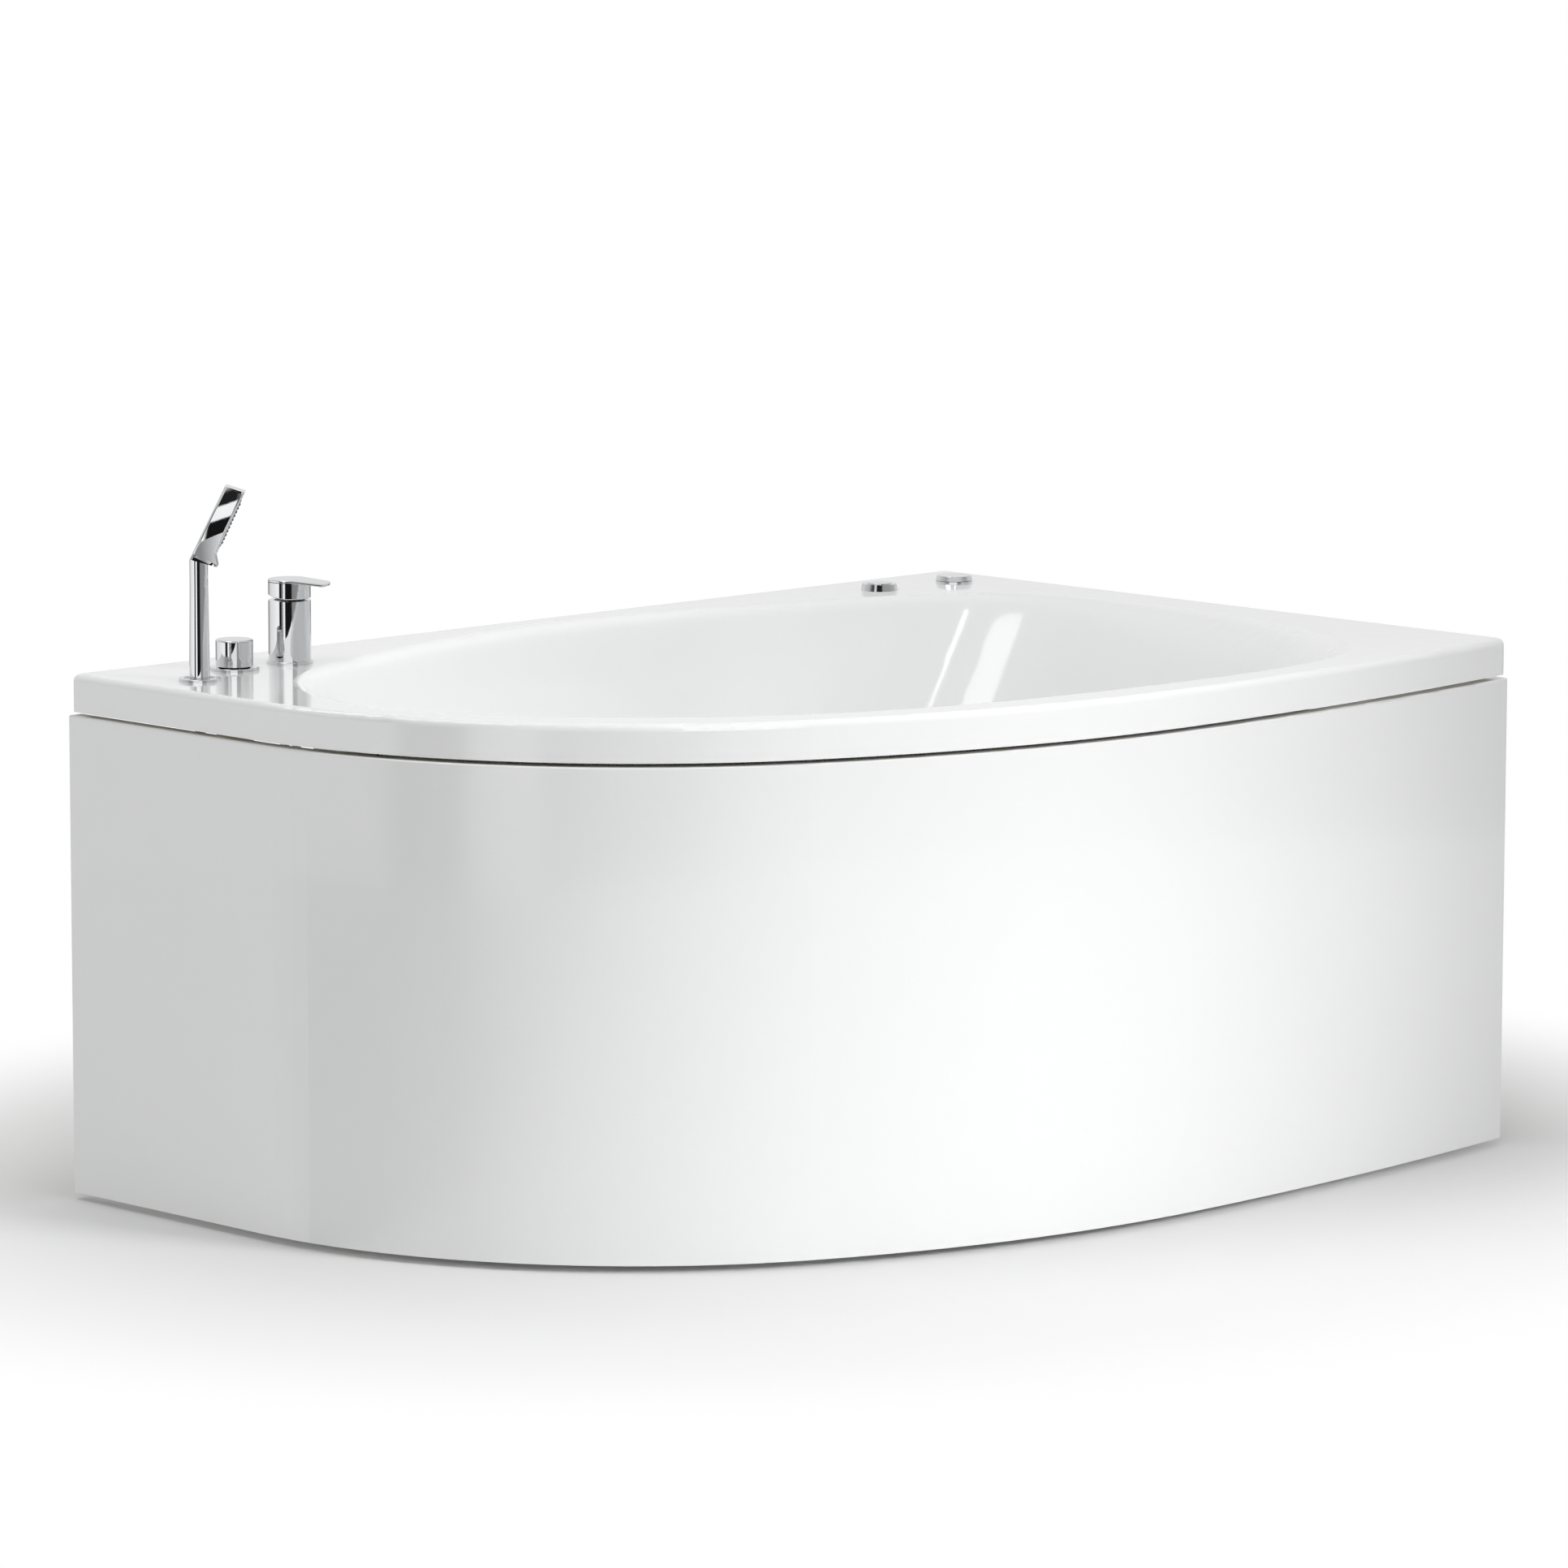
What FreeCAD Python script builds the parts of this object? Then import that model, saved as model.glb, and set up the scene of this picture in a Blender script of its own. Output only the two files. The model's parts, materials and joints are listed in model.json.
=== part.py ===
"""Corner bathtub with a curved front panel, deck taps and an air massage system.

All lengths are in millimetres and all angles in degrees.  +Z is up and z = 0
is the floor.  The long wall side lies along X at the back (+Y), the short wall
side lies along Y at the right (+X), and the curved panel faces the front (-Y).
The origin is the centre of the footprint's bounding rectangle, on the floor.
Shapes that cut run 1 mm past the faces that they open.
"""
import FreeCAD, Part
import math
import os
from FreeCAD import Vector

# ---------------------------------------------------------------- whole bath
LENGTH = 1400.0            # along the long wall
DEPTH = 951.0              # from the long wall to the front's furthest point
DECK_HEIGHT = 596.5        # top of the rim above the floor
LIP_HEIGHT = 42.5          # visible edge of the shell, all round
LIP_SETBACK = 2.5          # how far the lip's face lies behind the panel's
SHELL_WALL = 6.0           # acrylic with its glass-fibre backing
LIP_TOP_ROUND = 8.0        # rounding along the lip's upper edge
LIP_CORNER_ROUND = 9.0     # rounding of the lip's upright corners

# ------------------------------------------------------- curved front in plan
TURN_RADIUS = 580.0        # tight bend at the tap end
TURN_ANGLE = 65.0          # how far that bend turns
FLANK_RADIUS = 1180.0      # wider bend that ends at the furthest point
END_RISE = 41.0            # how far the front comes back by the short wall

# ------------------------------------------------------------- basin in plan
RIM_FRONT = 48.0           # flat rim along the curved front
RIM_BACK = 33.0            # narrowest rim along the long wall
RIM_RIGHT = 66.0           # rim along the short wall
RIM_LEFT = 65.0            # rim at the tap end
NOSE_BACK = 404.0          # tap end's nose, from the long wall
TAP_DECK_NEAR = (167.0, 194.0)     # from the left side, from the long wall
TAP_DECK_FAR = (386.0, 95.0)
BACK_CREST = 780.0         # where the back rim is narrowest, from the left
CORNER_DECK_FAR = (294.0, 115.0)   # from the short wall, from the long wall
CORNER_DECK_NEAR = (126.0, 200.0)
RIGHT_CREST = 400.0        # where the right rim is narrowest, from the long wall
BACKREST_FRONT = (98.0, 700.0)     # from the short wall, from the long wall
FRONT_CORNER = (186.0, 838.0)
FRONT_RIGHT = 330.0        # last point on the front rim, from the short wall

# --------------------------------------------------------- basin in section
BASIN_FLOOR = 165.0        # floor of the basin above the room's floor
LEFT_RUN = 105.0           # how far each wall leans in on its way down
FRONT_RUN = 85.0
BACK_RUN = 85.0
BACKREST_RUN = 300.0
EDGE_TANGENT = 14.0        # tangent length of the edge's rounding
BACKREST_TANGENT = 70.0    # the same on the soft edge of the backrest
FOOT_TANGENT = 60.0        # tangent length of the rounding at the floor

# --------------------------------------------------------------- front panel
FLOOR_GAP = 8.0            # under the panel
SEAM_GAP = 4.0             # between the panel and the lip
PANEL_WALL = 4.0
PANEL_FLANGE = 18.0        # inward flange along the panel's top and bottom
PANEL_EDGE_ROUND = 2.5
STRIKE_WALL = 3.0          # steel strips that the magnets hold
STRIKE_WIDTH = 28.0
STRIKE_HEIGHT = 30.0
MAGNET_GAP = 0.3
MAGNET_INSET = 2.0         # magnets are this much shorter than the strips, at each end
STRIKE_LOW = 150.0         # height of the lower row of strips above the floor
CLEAT_HEIGHT = 400.0       # the panel hangs on ledges at this height
CLEAT_DEPTH = 11.0
CLEAT_THICK = 12.0
STRIKE_RISE = 28.0         # upper row of strips above the cleats
LEDGE_THICK = 4.0
RIB_WIDTH = 6.0
RIB_DEPTH = 12.0
RIB_ANGLES = (12.0, 40.0)  # upright ribs round the tight bend
RIB_FROM_LEFT = 580.0      # and along the front
RIB_FROM_RIGHT = 220.0

# -------------------------------------------------------------- steel frame
BOARD_WALL = 16.0          # board laminated under the basin's floor
BOARD_INSET = 18.0
RAIL = 30.0                # square tube
RAIL_WALL = 2.0
RAIL_SPREAD = 320.0        # between the two long rails
RAIL_FROM_BACK = 467.5     # halfway between them, from the long wall
RAIL_FROM_LEFT = 260.0     # ends of the long rails
RAIL_FROM_RIGHT = 90.0
CROSS_FROM_LEFT = 370.0    # the two cross rails
CROSS_FROM_RIGHT = 400.0
CROSS_BACK_GAP = 25.0
POST = 20.0                # square tube of the upright posts
POST_SETBACK = 22.0        # post's face behind the panel's face
POST_SPARE = 30.0          # post's top above the upper magnets
FOOT_ROD_RADIUS = 6.0
FOOT_PAD_RADIUS = 22.0
FOOT_PAD_HEIGHT = 12.0
FOOT_ROD_TOP = 128.0
FOOT_FRONT_SETBACK = 46.0  # front feet behind the posts' faces
FOOT_BACK_SETBACK = 70.0   # rear feet in front of the long wall
THREAD_CLEARANCE = 0.05
FOOT_NUT_ACROSS = 19.0
FOOT_NUT_HEIGHT = 10.0
SCREWS_FROM_LEFT = (500.0, 680.0, 860.0)
SCREW_RADIUS = 3.0
SCREW_HEAD_RADIUS = 5.5
SCREW_HEAD_HEIGHT = 3.5
SCREW_BITE = 12.0
HOLE_CLEARANCE = 0.2
BRACKET_WIDTH = 80.0       # wall brackets that carry the lip
BRACKET_DROP = 52.0
BRACKET_WALL = 3.0
BRACKET_SHELF = 26.0
BRACKET_HOOK = 14.0
BRACKET_HOLE_RADIUS = 3.3
BRACKET_HOLE_SPACING = 50.0
BRACKET_HOLE_DROP = 30.0
BRACKET_FROM_LEFT = 450.0  # the two on the long wall
BRACKET_FROM_RIGHT = 370.0
BRACKET_FROM_BACK = 395.5  # the one on the short wall
SOFT_GAP = 0.3

# --------------------------------------------------------------- deck fittings
TAP_LINE = 100.5           # mixer and diverter, from the long wall
MIXER_FROM_LEFT = 239.0
DIVERTER_FROM_LEFT = 157.0
SHOWER_FROM_LEFT = 69.0
SHOWER_FROM_BACK = 144.0
SHANK_RADIUS = 16.0        # threaded shank of all three taps
SHANK_BORE = 12.0
TAP_NUT_ACROSS = 40.0
TAP_NUT_HEIGHT = 9.0
WASHER_HEIGHT = 2.0
WASHER_RADIUS = 22.0

MIXER_RADIUS = 24.0
MIXER_RING_RADIUS = 26.4
MIXER_RING_HEIGHT = 3.5
MIXER_TOP = 72.0           # top of the fixed body above the deck
MIXER_GROOVE = 2.0
CAP_HEIGHT = 22.0
CAP_WALL = 4.0
CAP_CROWN = 14.0           # solid top of the cap, which holds the spindle
CAP_RELIEF = 4.0           # how far the cap's lower edge rises at the back
CAP_FLAT = 8.0             # from the axis to where the cap's top starts to slope
LEVER_ANGLE = -55.5        # where the lever points, in plan
LEVER_REACH = 46.0
LEVER_TIP_WIDTH = 36.0
LEVER_DROOP = 4.2          # how far its top slopes down to the tip
LEVER_TIP_THICK = 3.5
LEVER_MIDDLE = (30.0, 9.2)         # underside: from the axis, below the cap's top
LEVER_EDGE_ROUND = 0.8
CARTRIDGE_RADIUS = 17.5
CARTRIDGE_HEIGHT = 44.0
CARRIER_RADIUS = 9.0
CARRIER_HEIGHT = 18.0
CARRIER_SLOT = 7.4
CARRIER_SLOT_FOOT = 7.5    # slot's floor below the tilt axis
CARTRIDGE_PORT = 4.5
CARTRIDGE_FLOOR = 3.0      # under the carrier's bore
PIVOT_DROP = 6.0           # tilt axis below the fixed body's top
PIVOT_RADIUS = 2.0
PIVOT_INSET = 1.0          # pin's ends inside the carrier
SPINDLE_RADIUS = 3.5
SPINDLE_FOOT = 6.0         # below the tilt axis
SPINDLE_TOP = 18.0         # above the fixed body's top
RUNNING = 0.05             # radial clearance of everything that turns or slides
SHANK_GRIP = 12.0          # shank screwed into the mixer's body
MIXER_SHANK_DROP = 72.0    # shank's lower end below the deck's top
MIXER_SHANK_END = 6.0      # its lower end's wall, which holds the supply hoses
PORT_DROP = 56.0           # level of the pipe between mixer and diverter
PIPE_RADIUS = 8.0
PIPE_BORE = 6.0

DIVERTER_KNOB_RADIUS = 21.1
DIVERTER_KNOB_HEIGHT = 30.0
DIVERTER_FLANGE_RADIUS = 27.8
FLANGE_HEIGHT = 3.5
KNOB_GAP = 1.2
KNOB_ROUND = 2.0
KNOB_WALL = 3.0
VALVE_RADIUS = 21.0
VALVE_TOP_DROP = 46.0
VALVE_FOOT_DROP = 98.0
VALVE_SPINDLE_RADIUS = 4.0
VALVE_SPINDLE_DEPTH = 40.0
FILLER_PORT_DROP = 80.0

SHOWER_FLANGE_RADIUS = 23.3
HANDLE_BORE = 5.0
HEAD_OUTLINE = (           # side view: from the handle's axis, above the deck
    (-9.3, 136.7),
    (30.4, 217.9),
    (52.0, 210.9),
    (19.1, 139.9),
    (21.4, 128.0),
    (-4.0, 135.0),
)
HANDLE_RADIUS = 11.5       # at the deck
NECK_RADIUS = 10.2         # under the head
HANDLE_JOINT = 105.0       # seam between handle and head above the deck
HANDLE_FOOT_DROP = 34.0
HOLDER_DROP = 46.0
BUSH_WALL = 2.6
BUSH_RIM_RADIUS = 17.0
BUSH_RIM_HEIGHT = 1.0
SHOWER_ANGLE = -44.6       # where the head leans, in plan
HEAD_WIDTH = 25.0
HEAD_ROUND = 3.0
FACE_LENGTH = 56.0
FACE_WIDTH = 15.0
FACE_THICK = 1.0
NOZZLE_RADIUS = 0.9
NOZZLE_HEIGHT = 1.5
NOZZLE_ROWS = 3
NOZZLES_IN_ROW = 11
SHOWER_HOSE_RADIUS = 6.0
SHOWER_HOSE_BORE = 4.0
SHOWER_HOSE_BEND = 56.0
SHOWER_HOSE_ROUTE = (      # from the shower towards the diverter, above the floor
    (0.0, 516.0),
    (-5.0, 462.0),
    (-9.0, 414.0),
    (-9.0, 370.0),
    (-8.0, 326.4),
    (25.4, 293.0),
    (72.6, 293.0),
    (106.0, 326.4),
    (107.0, 372.0),
    (102.0, 418.0),
    (98.2, 458.0),
)

# ------------------------------------------------------------- corner controls
BUTTON_FROM_RIGHT = 202.0
BUTTON_FROM_BACK = 86.0
REGULATOR_FROM_RIGHT = 76.0
REGULATOR_FROM_BACK = 90.0
CONTROL_FOOT_RADIUS = 22.5
CONTROL_TOP_RADIUS = 20.5
CONTROL_HEIGHT = 8.0
CONTROL_SHANK_RADIUS = 13.0
CONTROL_SHANK_DROP = 46.0
CONTROL_NUT_ACROSS = 34.0
BUTTON_RADIUS = 15.0
BUTTON_TRAVEL = 4.0
BUTTON_STEM_RADIUS = 3.0
SPRING_WELL = 8.5
BUTTON_HEAD = 4.0
BUTTON_ROUND = 1.0
BUTTON_PROUD = 1.2         # button's top above its bezel
BUTTON_GUIDE = 16.0        # top of the stem's guide below the deck
BUTTON_STEM_FOOT = 40.0
SPRING_RADIUS = 7.0
SPRING_WIRE = 0.6
SPRING_TURNS = 5
REGULATOR_BASE_HEIGHT = 1.6
REGULATOR_GAP = 0.4
REGULATOR_STEM_RADIUS = 4.0
REGULATOR_STEM_DROP = 30.0
REGULATOR_PORT = 6.0
AIR_TUBE_RADIUS = 3.0
AIR_TUBE_BORE = 1.8
AIR_HOSE_RADIUS = 8.0
AIR_HOSE_BORE = 6.0

# ----------------------------------------------------------- overflow and waste
OVERFLOW_DROP = 75.0       # overflow's centre below the deck
OVERFLOW_HOLE_RADIUS = 26.0
OVERFLOW_SLEEVE_RADIUS = 22.0
OVERFLOW_SLEEVE_WALL = 3.0
OVERFLOW_BASE_RADIUS = 31.0
OVERFLOW_BASE_LIFT = 4.2
OVERFLOW_BASE_THICK = 3.0
OVERFLOW_KNOB_RADIUS = 35.0
OVERFLOW_KNOB_HEIGHT = 11.0
OVERFLOW_KNOB_LIFT = 6.2   # its rim above the basin's wall
OVERFLOW_KNOB_WALL = 3.0
OVERFLOW_KNOB_CROWN = 4.0
OVERFLOW_KNOB_ROUND = 3.0
OVERFLOW_BODY_RADIUS = 30.0
OVERFLOW_BODY_DEPTH = 34.0
OVERFLOW_BODY_WALL = 4.0
OVERFLOW_SEAL = 2.6
OVERFLOW_SPINDLE_RADIUS = 4.0
OVERFLOW_STUB_DROP = 44.0
OVERFLOW_PIPE_RADIUS = 14.0
OVERFLOW_PIPE_BORE = 11.5
FILLER_HOSE_RADIUS = 9.0
FILLER_HOSE_BORE = 6.5
FILLER_BEND = 71.0
FILLER_ROUTE = (           # from the left side, from the long wall
    (114.0, 100.5),
    (73.0, 107.5),
    (42.0, 133.5),
    (29.0, 172.5),
    (29.0, 219.5),
    (33.0, 261.5),
    (45.0, 297.5),
    (59.0, 329.5),
    (68.0, 355.5),
)
CABLE_RADIUS = 2.5
CABLE_OFFSET = 25.0
CABLE_LEVEL = 136.0
CABLE_BEND = 90.0
CABLE_ROUTE = (            # from the overflow's body towards the waste, above the floor
    (0.0, 455.0),
    (2.2, 400.0),
    (6.2, 345.0),
    (12.2, 290.0),
    (22.2, 238.0),
    (38.2, 194.0),
    (64.2, 162.0),
    (100.2, 144.0),
    (143.2, 136.5),
)
OVERFLOW_PIPE_BEND = 45.0
WASTE_FROM_LEFT = 275.0
WASTE_HOLE_RADIUS = 24.5
WASTE_FLANGE_RADIUS = 35.0
WASTE_FLANGE_LIP = 2.0
WASTE_FLANGE_ROUND = 1.0
WASTE_BORE = 20.0
WASTE_SLEEVE_RADIUS = 24.0
WASTE_SLEEVE_DROP = 30.0
PLUG_RADIUS = 19.0
PLUG_THICK = 6.0
PLUG_ROUND = 2.0
PLUG_TRAVEL = 10.0
PLUG_STEM_RADIUS = 4.0
PLUG_STEM_SPARE = 3.0      # stem left in its guide with the plug lifted
PLUG_PROUD = 3.0           # closed plug's top above the basin's floor
PLUG_GUIDE = 5.0
WASTE_BODY_RADIUS = 32.0
WASTE_BODY_HEIGHT = 52.0
WASTE_BODY_WALL = 4.0
WASTE_SEAL = 2.0
WASTE_NOTCH_GAP = 4.0      # board's cut-out round the waste
OVERFLOW_PIPE_LEVEL = 124.0
TRAP_RADIUS = 36.0
TRAP_TOP = 100.0
TRAP_FOOT = 38.0
TRAP_NECK_RADIUS = 18.0
TRAP_WALL = 3.0
TRAP_DIP = 48.0            # lower end of the tube inside the trap
TRAP_DIP_RADIUS = 15.0
DRAIN_RADIUS = 20.0
DRAIN_BORE = 18.0
DRAIN_LEVEL = 72.0
DRAIN_BACK_GAP = 35.0
DRAIN_SPIGOT = 50.0        # part of the outlet that enters the waste pipe's socket
DRAIN_COLLAR_RADIUS = 23.0
DRAIN_COLLAR_WIDTH = 4.0

# ------------------------------------------------------------------ air system
JET_HEAD_RADIUS = 9.0
JET_HEAD_HEIGHT = 2.0
JET_STEM_RADIUS = 5.0
JET_BORE = 3.4
JET_ROUND = 1.0
JET_HOLE = 0.6
JET_HOLES = 6
JET_HOLE_RING = 2.04       # radius of the circle that the holes lie on
JET_ROW_SPREAD = 170.0
JETS_FROM_LEFT = (440.0, 570.0, 700.0, 830.0)
MANIFOLD_RADIUS = 9.0
MANIFOLD_BORE = 7.0
MANIFOLD_GAP = 10.0        # below the board
MANIFOLD_FROM_LEFT = 410.0
MANIFOLD_FROM_RIGHT = 355.0
MANIFOLD_END = 2.0         # end caps
BLOWER_FROM_RIGHT = 180.0
BLOWER_RADIUS = 65.0
BLOWER_HEIGHT = 139.0
BLOWER_WALL = 3.0
BLOWER_ROUND = 4.0
BLOWER_BASE_WALL = 3.0
BLOWER_BASE_LENGTH = 150.0
BLOWER_PORT_LEVEL = 175.0
BLOWER_HOSE_RADIUS = 12.0
BLOWER_HOSE_BORE = 10.0
BLOWER_HOSE_TURNS = (60.0, 25.0)   # from the header and from the housing, in x
BLOWER_HOSE_BEND = 40.0
BLOWER_SLOTS = 10
BLOWER_SLOT = (5.0, 34.0)
BLOWER_SLOT_LEVEL = 228.0
MOTOR_RADIUS = 38.0
MOTOR_HEIGHT = 88.0
MOTOR_SHAFT_RADIUS = 4.0
MOTOR_BORE_DEPTH = 70.0
MOTOR_SHAFT_SPARE = 2.0    # from the shaft's end to the bore's
IMPELLER_RADIUS = 50.0
IMPELLER_HUB_RADIUS = 12.0
IMPELLER_THICK = 3.0
IMPELLER_LEVEL = 166.0
BLADE_COUNT = 12
BLADE_HEIGHT = 14.0
BLADE_WALL = 2.0
BLADE_ROOT = 16.0
BUTTON_TUBE_LEVEL = 272.0
BUTTON_TUBE_BEND = 110.0
BUTTON_TUBE_ROUTE = (      # from the button towards the blower, above the floor
    (0.0, 505.0),
    (2.0, 452.0),
    (8.0, 402.0),
    (24.0, 358.0),
    (52.0, 324.0),
    (92.0, 300.0),
    (140.0, 284.0),
    (195.0, 275.5),
    (255.0, 272.5),
)
REGULATOR_HOSE_LEVEL = 205.0
REGULATOR_HOSE_BEND = 150.0
REGULATOR_HOSE_ROUTE = (   # from the regulator towards the blower, above the floor
    (0.0, 500.0),
    (1.0, 440.0),
    (8.0, 380.0),
    (30.0, 325.0),
    (66.0, 280.0),
    (112.0, 247.0),
    (165.0, 226.0),
    (222.0, 213.0),
    (278.0, 206.0),
)

# --------------------------------------------------------------- water supply
SUPPLY_HOSE_RADIUS = 5.5
SUPPLY_HOSE_BORE = 3.5
SUPPLY_NUT_ACROSS = 24.0
SUPPLY_NUT_LENGTH = 16.0
SUPPLY_NUT_BORE = 9.3
SUPPLY_NUT_DEPTH = 11.0
SUPPLY_LEVEL = 230.0
SUPPLY_SPREAD = 60.0
SUPPLY_SPLIT = 16.0
SUPPLY_BACK_GAP = 12.0
SUPPLY_BEND = 55.0
SUPPLY_ROUTE = (           # sideways from the mixer, towards the wall, above the floor
    (8.0, 0.0, 484.0),
    (20.0, -1.0, 428.0),
    (29.0, -2.0, 372.0),
    (30.0, -2.0, 318.0),
    (30.0, 0.0, 265.0),
    (30.0, 35.0, 230.0),
)

RIGHT = LENGTH / 2.0
LEFT = -RIGHT
BACK = DEPTH / 2.0
FRONT = -BACK

EDGE_SAMPLES = 56
ARC_STEPS = 5
WALL_STEPS = 3
BOARD_SAMPLES = 24


# =================================================================== helpers
def rad(angle):
    return math.radians(angle)


def box(x0, y0, z0, x1, y1, z1):
    return Part.makeBox(x1 - x0, y1 - y0, z1 - z0, Vector(x0, y0, z0))


def rod(x, y, z0, z1, radius):
    return Part.makeCylinder(radius, z1 - z0, Vector(x, y, z0))


def ring(x, y, z0, z1, outer, inner):
    return rod(x, y, z0, z1, outer).cut(rod(x, y, z0, z1, inner))


def bar_x(x0, x1, y, z, radius):
    """A round bar along X."""
    return Part.makeCylinder(radius, x1 - x0, Vector(x0, y, z), Vector(1, 0, 0))


def bar_y(x, y0, y1, z, radius):
    """A round bar along Y."""
    return Part.makeCylinder(radius, y1 - y0, Vector(x, y0, z), Vector(0, 1, 0))


def cone(x, y, z0, z1, radius0, radius1):
    return Part.makeCone(radius0, radius1, z1 - z0, Vector(x, y, z0))


def hex_bar(x, y, z0, z1, across):
    corner = across / math.sqrt(3.0)
    points = [Vector(x + corner * math.cos(rad(60 * k)), y + corner * math.sin(rad(60 * k)), z0)
              for k in range(7)]
    return Part.Face(Part.makePolygon(points)).extrude(Vector(0, 0, z1 - z0))


def hex_nut(x, y, z0, z1, across, bore):
    return hex_bar(x, y, z0, z1, across).cut(rod(x, y, z0, z1, bore))


def join(shapes):
    solid = shapes[0].multiFuse(shapes[1:])
    return solid.removeSplitter()


def turned(shape, angle, x, y, z=0.0):
    """Turns a shape about the vertical through the origin and moves it there."""
    copy = shape.copy()
    copy.rotate(Vector(0, 0, 0), Vector(0, 0, 1), angle)
    copy.translate(Vector(x, y, z))
    return copy


def round_top(solid, z, radius):
    """Rounds the outermost circular edge at height z."""
    rims = [e for e in solid.Edges if len(e.Vertexes) == 1 and abs(e.BoundBox.ZMin - z) < 0.01
            and abs(e.BoundBox.ZMax - z) < 0.01]
    widest = max(rims, key=lambda e: e.Length)
    return solid.makeFillet(radius, [widest])


def bent_path(points, bend):
    """Straight runs joined by tangent arcs of one bend radius."""
    corners = [Vector(*p) for p in points]
    edges = []
    here = corners[0]
    for before, corner, after in zip(corners, corners[1:], corners[2:]):
        back = (before - corner).normalize()
        ahead = (after - corner).normalize()
        turn = math.pi - back.getAngle(ahead)
        tangent = bend * math.tan(turn / 2.0)
        enter = corner + back * tangent
        leave = corner + ahead * tangent
        inside = (back + ahead).normalize()
        middle = corner + inside * (bend / math.cos(turn / 2.0) - bend)
        edges.append(Part.LineSegment(here, enter).toShape())
        edges.append(Part.Arc(enter, middle, leave).toShape())
        here = leave
    edges.append(Part.LineSegment(here, corners[-1]).toShape())
    return Part.Wire(edges)


def pipe_along(path, outer, bore):
    """A hollow pipe along a path of lines and tangent arcs."""
    first = path.OrderedEdges[0]
    start = path.OrderedVertexes[0].Point
    heading = first.tangentAt(first.FirstParameter)
    solids = []
    for radius in (outer, bore):
        circle = Part.Wire(Part.Circle(start, heading, radius).toShape())
        solids.append(path.makePipeShell([circle], True, False))
    return solids[0].cut(solids[1])


def upright_route(start, turns, end):
    """Corners in the upright plane through start and end, by distance and height."""
    ahead = Vector(end[0] - start[0], end[1] - start[1], 0).normalize()
    points = [start]
    for out, height in turns:
        points.append((start[0] + out * ahead.x, start[1] + out * ahead.y, height))
    points.append(end)
    return points


def side_profile(points, half_width):
    """A plate standing in the X-Z plane, as thick as twice half_width."""
    corners = [Vector(x, -half_width, z) for x, z in points]
    return Part.Face(Part.makePolygon(corners + corners[:1])).extrude(Vector(0, 2 * half_width, 0))


def plan_profile(points, z0, z1):
    corners = [Vector(x, y, z0) for x, y in points]
    return Part.Face(Part.makePolygon(corners + corners[:1])).extrude(Vector(0, 0, z1 - z0))


# ============================================================ plan of the bath
def front_arcs():
    """Centres, radii and joints of the three arcs of the curved front."""
    turn = rad(TURN_ANGLE)
    flank = rad(90.0 - TURN_ANGLE)
    side_end = FRONT + FLANK_RADIUS * (1 - math.cos(flank)) + TURN_RADIUS * math.sin(turn)
    turn_centre = (LEFT + TURN_RADIUS, side_end)
    flank_centre = (turn_centre[0] + (FLANK_RADIUS - TURN_RADIUS) * math.cos(turn),
                    turn_centre[1] + (FLANK_RADIUS - TURN_RADIUS) * math.sin(turn))
    reach = RIGHT - flank_centre[0]
    bow_radius = (reach ** 2 + END_RISE ** 2) / (2 * END_RISE)
    bow_centre = (flank_centre[0], FRONT + bow_radius)
    return turn_centre, flank_centre, bow_centre, bow_radius


def on_turn(inset, angle):
    centre = front_arcs()[0]
    r = TURN_RADIUS - inset
    return Vector(centre[0] - r * math.cos(rad(angle)), centre[1] - r * math.sin(rad(angle)), 0)


def on_flank(inset, angle):
    centre = front_arcs()[1]
    r = FLANK_RADIUS - inset
    return Vector(centre[0] - r * math.cos(rad(angle)), centre[1] - r * math.sin(rad(angle)), 0)


def on_bow(inset, x):
    centre, radius = front_arcs()[2:]
    r = radius - inset
    return Vector(x, centre[1] - math.sqrt(r ** 2 - (x - centre[0]) ** 2), 0)


def front_y(inset, x):
    """The y of the curved front, moved in by inset, at a given x."""
    turn_centre, flank_centre, bow_centre, bow_radius = front_arcs()
    if x >= flank_centre[0]:
        return on_bow(inset, x).y
    if x >= on_turn(inset, TURN_ANGLE).x:
        centre, r = flank_centre, FLANK_RADIUS - inset
    else:
        centre, r = turn_centre, TURN_RADIUS - inset
    return centre[1] - math.sqrt(r ** 2 - (x - centre[0]) ** 2)


def front_curve(inset, wall_gap=0.0):
    """Edges along the left side and the curved front, moved in by inset."""
    turn_centre = front_arcs()[0]
    flank_centre = front_arcs()[1]
    start = Vector(LEFT + inset, BACK - wall_gap, 0)
    side_end = Vector(LEFT + inset, turn_centre[1], 0)
    turn_end = on_turn(inset, TURN_ANGLE)
    deepest = on_flank(inset, 90.0)
    end_x = RIGHT - wall_gap
    middle_x = (flank_centre[0] + end_x) / 2.0
    return [
        Part.LineSegment(start, side_end).toShape(),
        Part.Arc(side_end, on_turn(inset, TURN_ANGLE / 2.0), turn_end).toShape(),
        Part.Arc(turn_end, on_flank(inset, (TURN_ANGLE + 90.0) / 2.0), deepest).toShape(),
        Part.Arc(deepest, on_bow(inset, middle_x), on_bow(inset, end_x)).toShape(),
    ]


def plan_wire(inset, wall_gap, z):
    """The bath's outline, moved in from the front and from the two walls."""
    edges = front_curve(inset, wall_gap)
    end = on_bow(inset, RIGHT - wall_gap)
    corner = Vector(RIGHT - wall_gap, BACK - wall_gap, 0)
    start = Vector(LEFT + inset, BACK - wall_gap, 0)
    edges.append(Part.LineSegment(end, corner).toShape())
    edges.append(Part.LineSegment(corner, start).toShape())
    wire = Part.Wire(edges)
    wire.translate(Vector(0, 0, z))
    return wire


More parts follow.
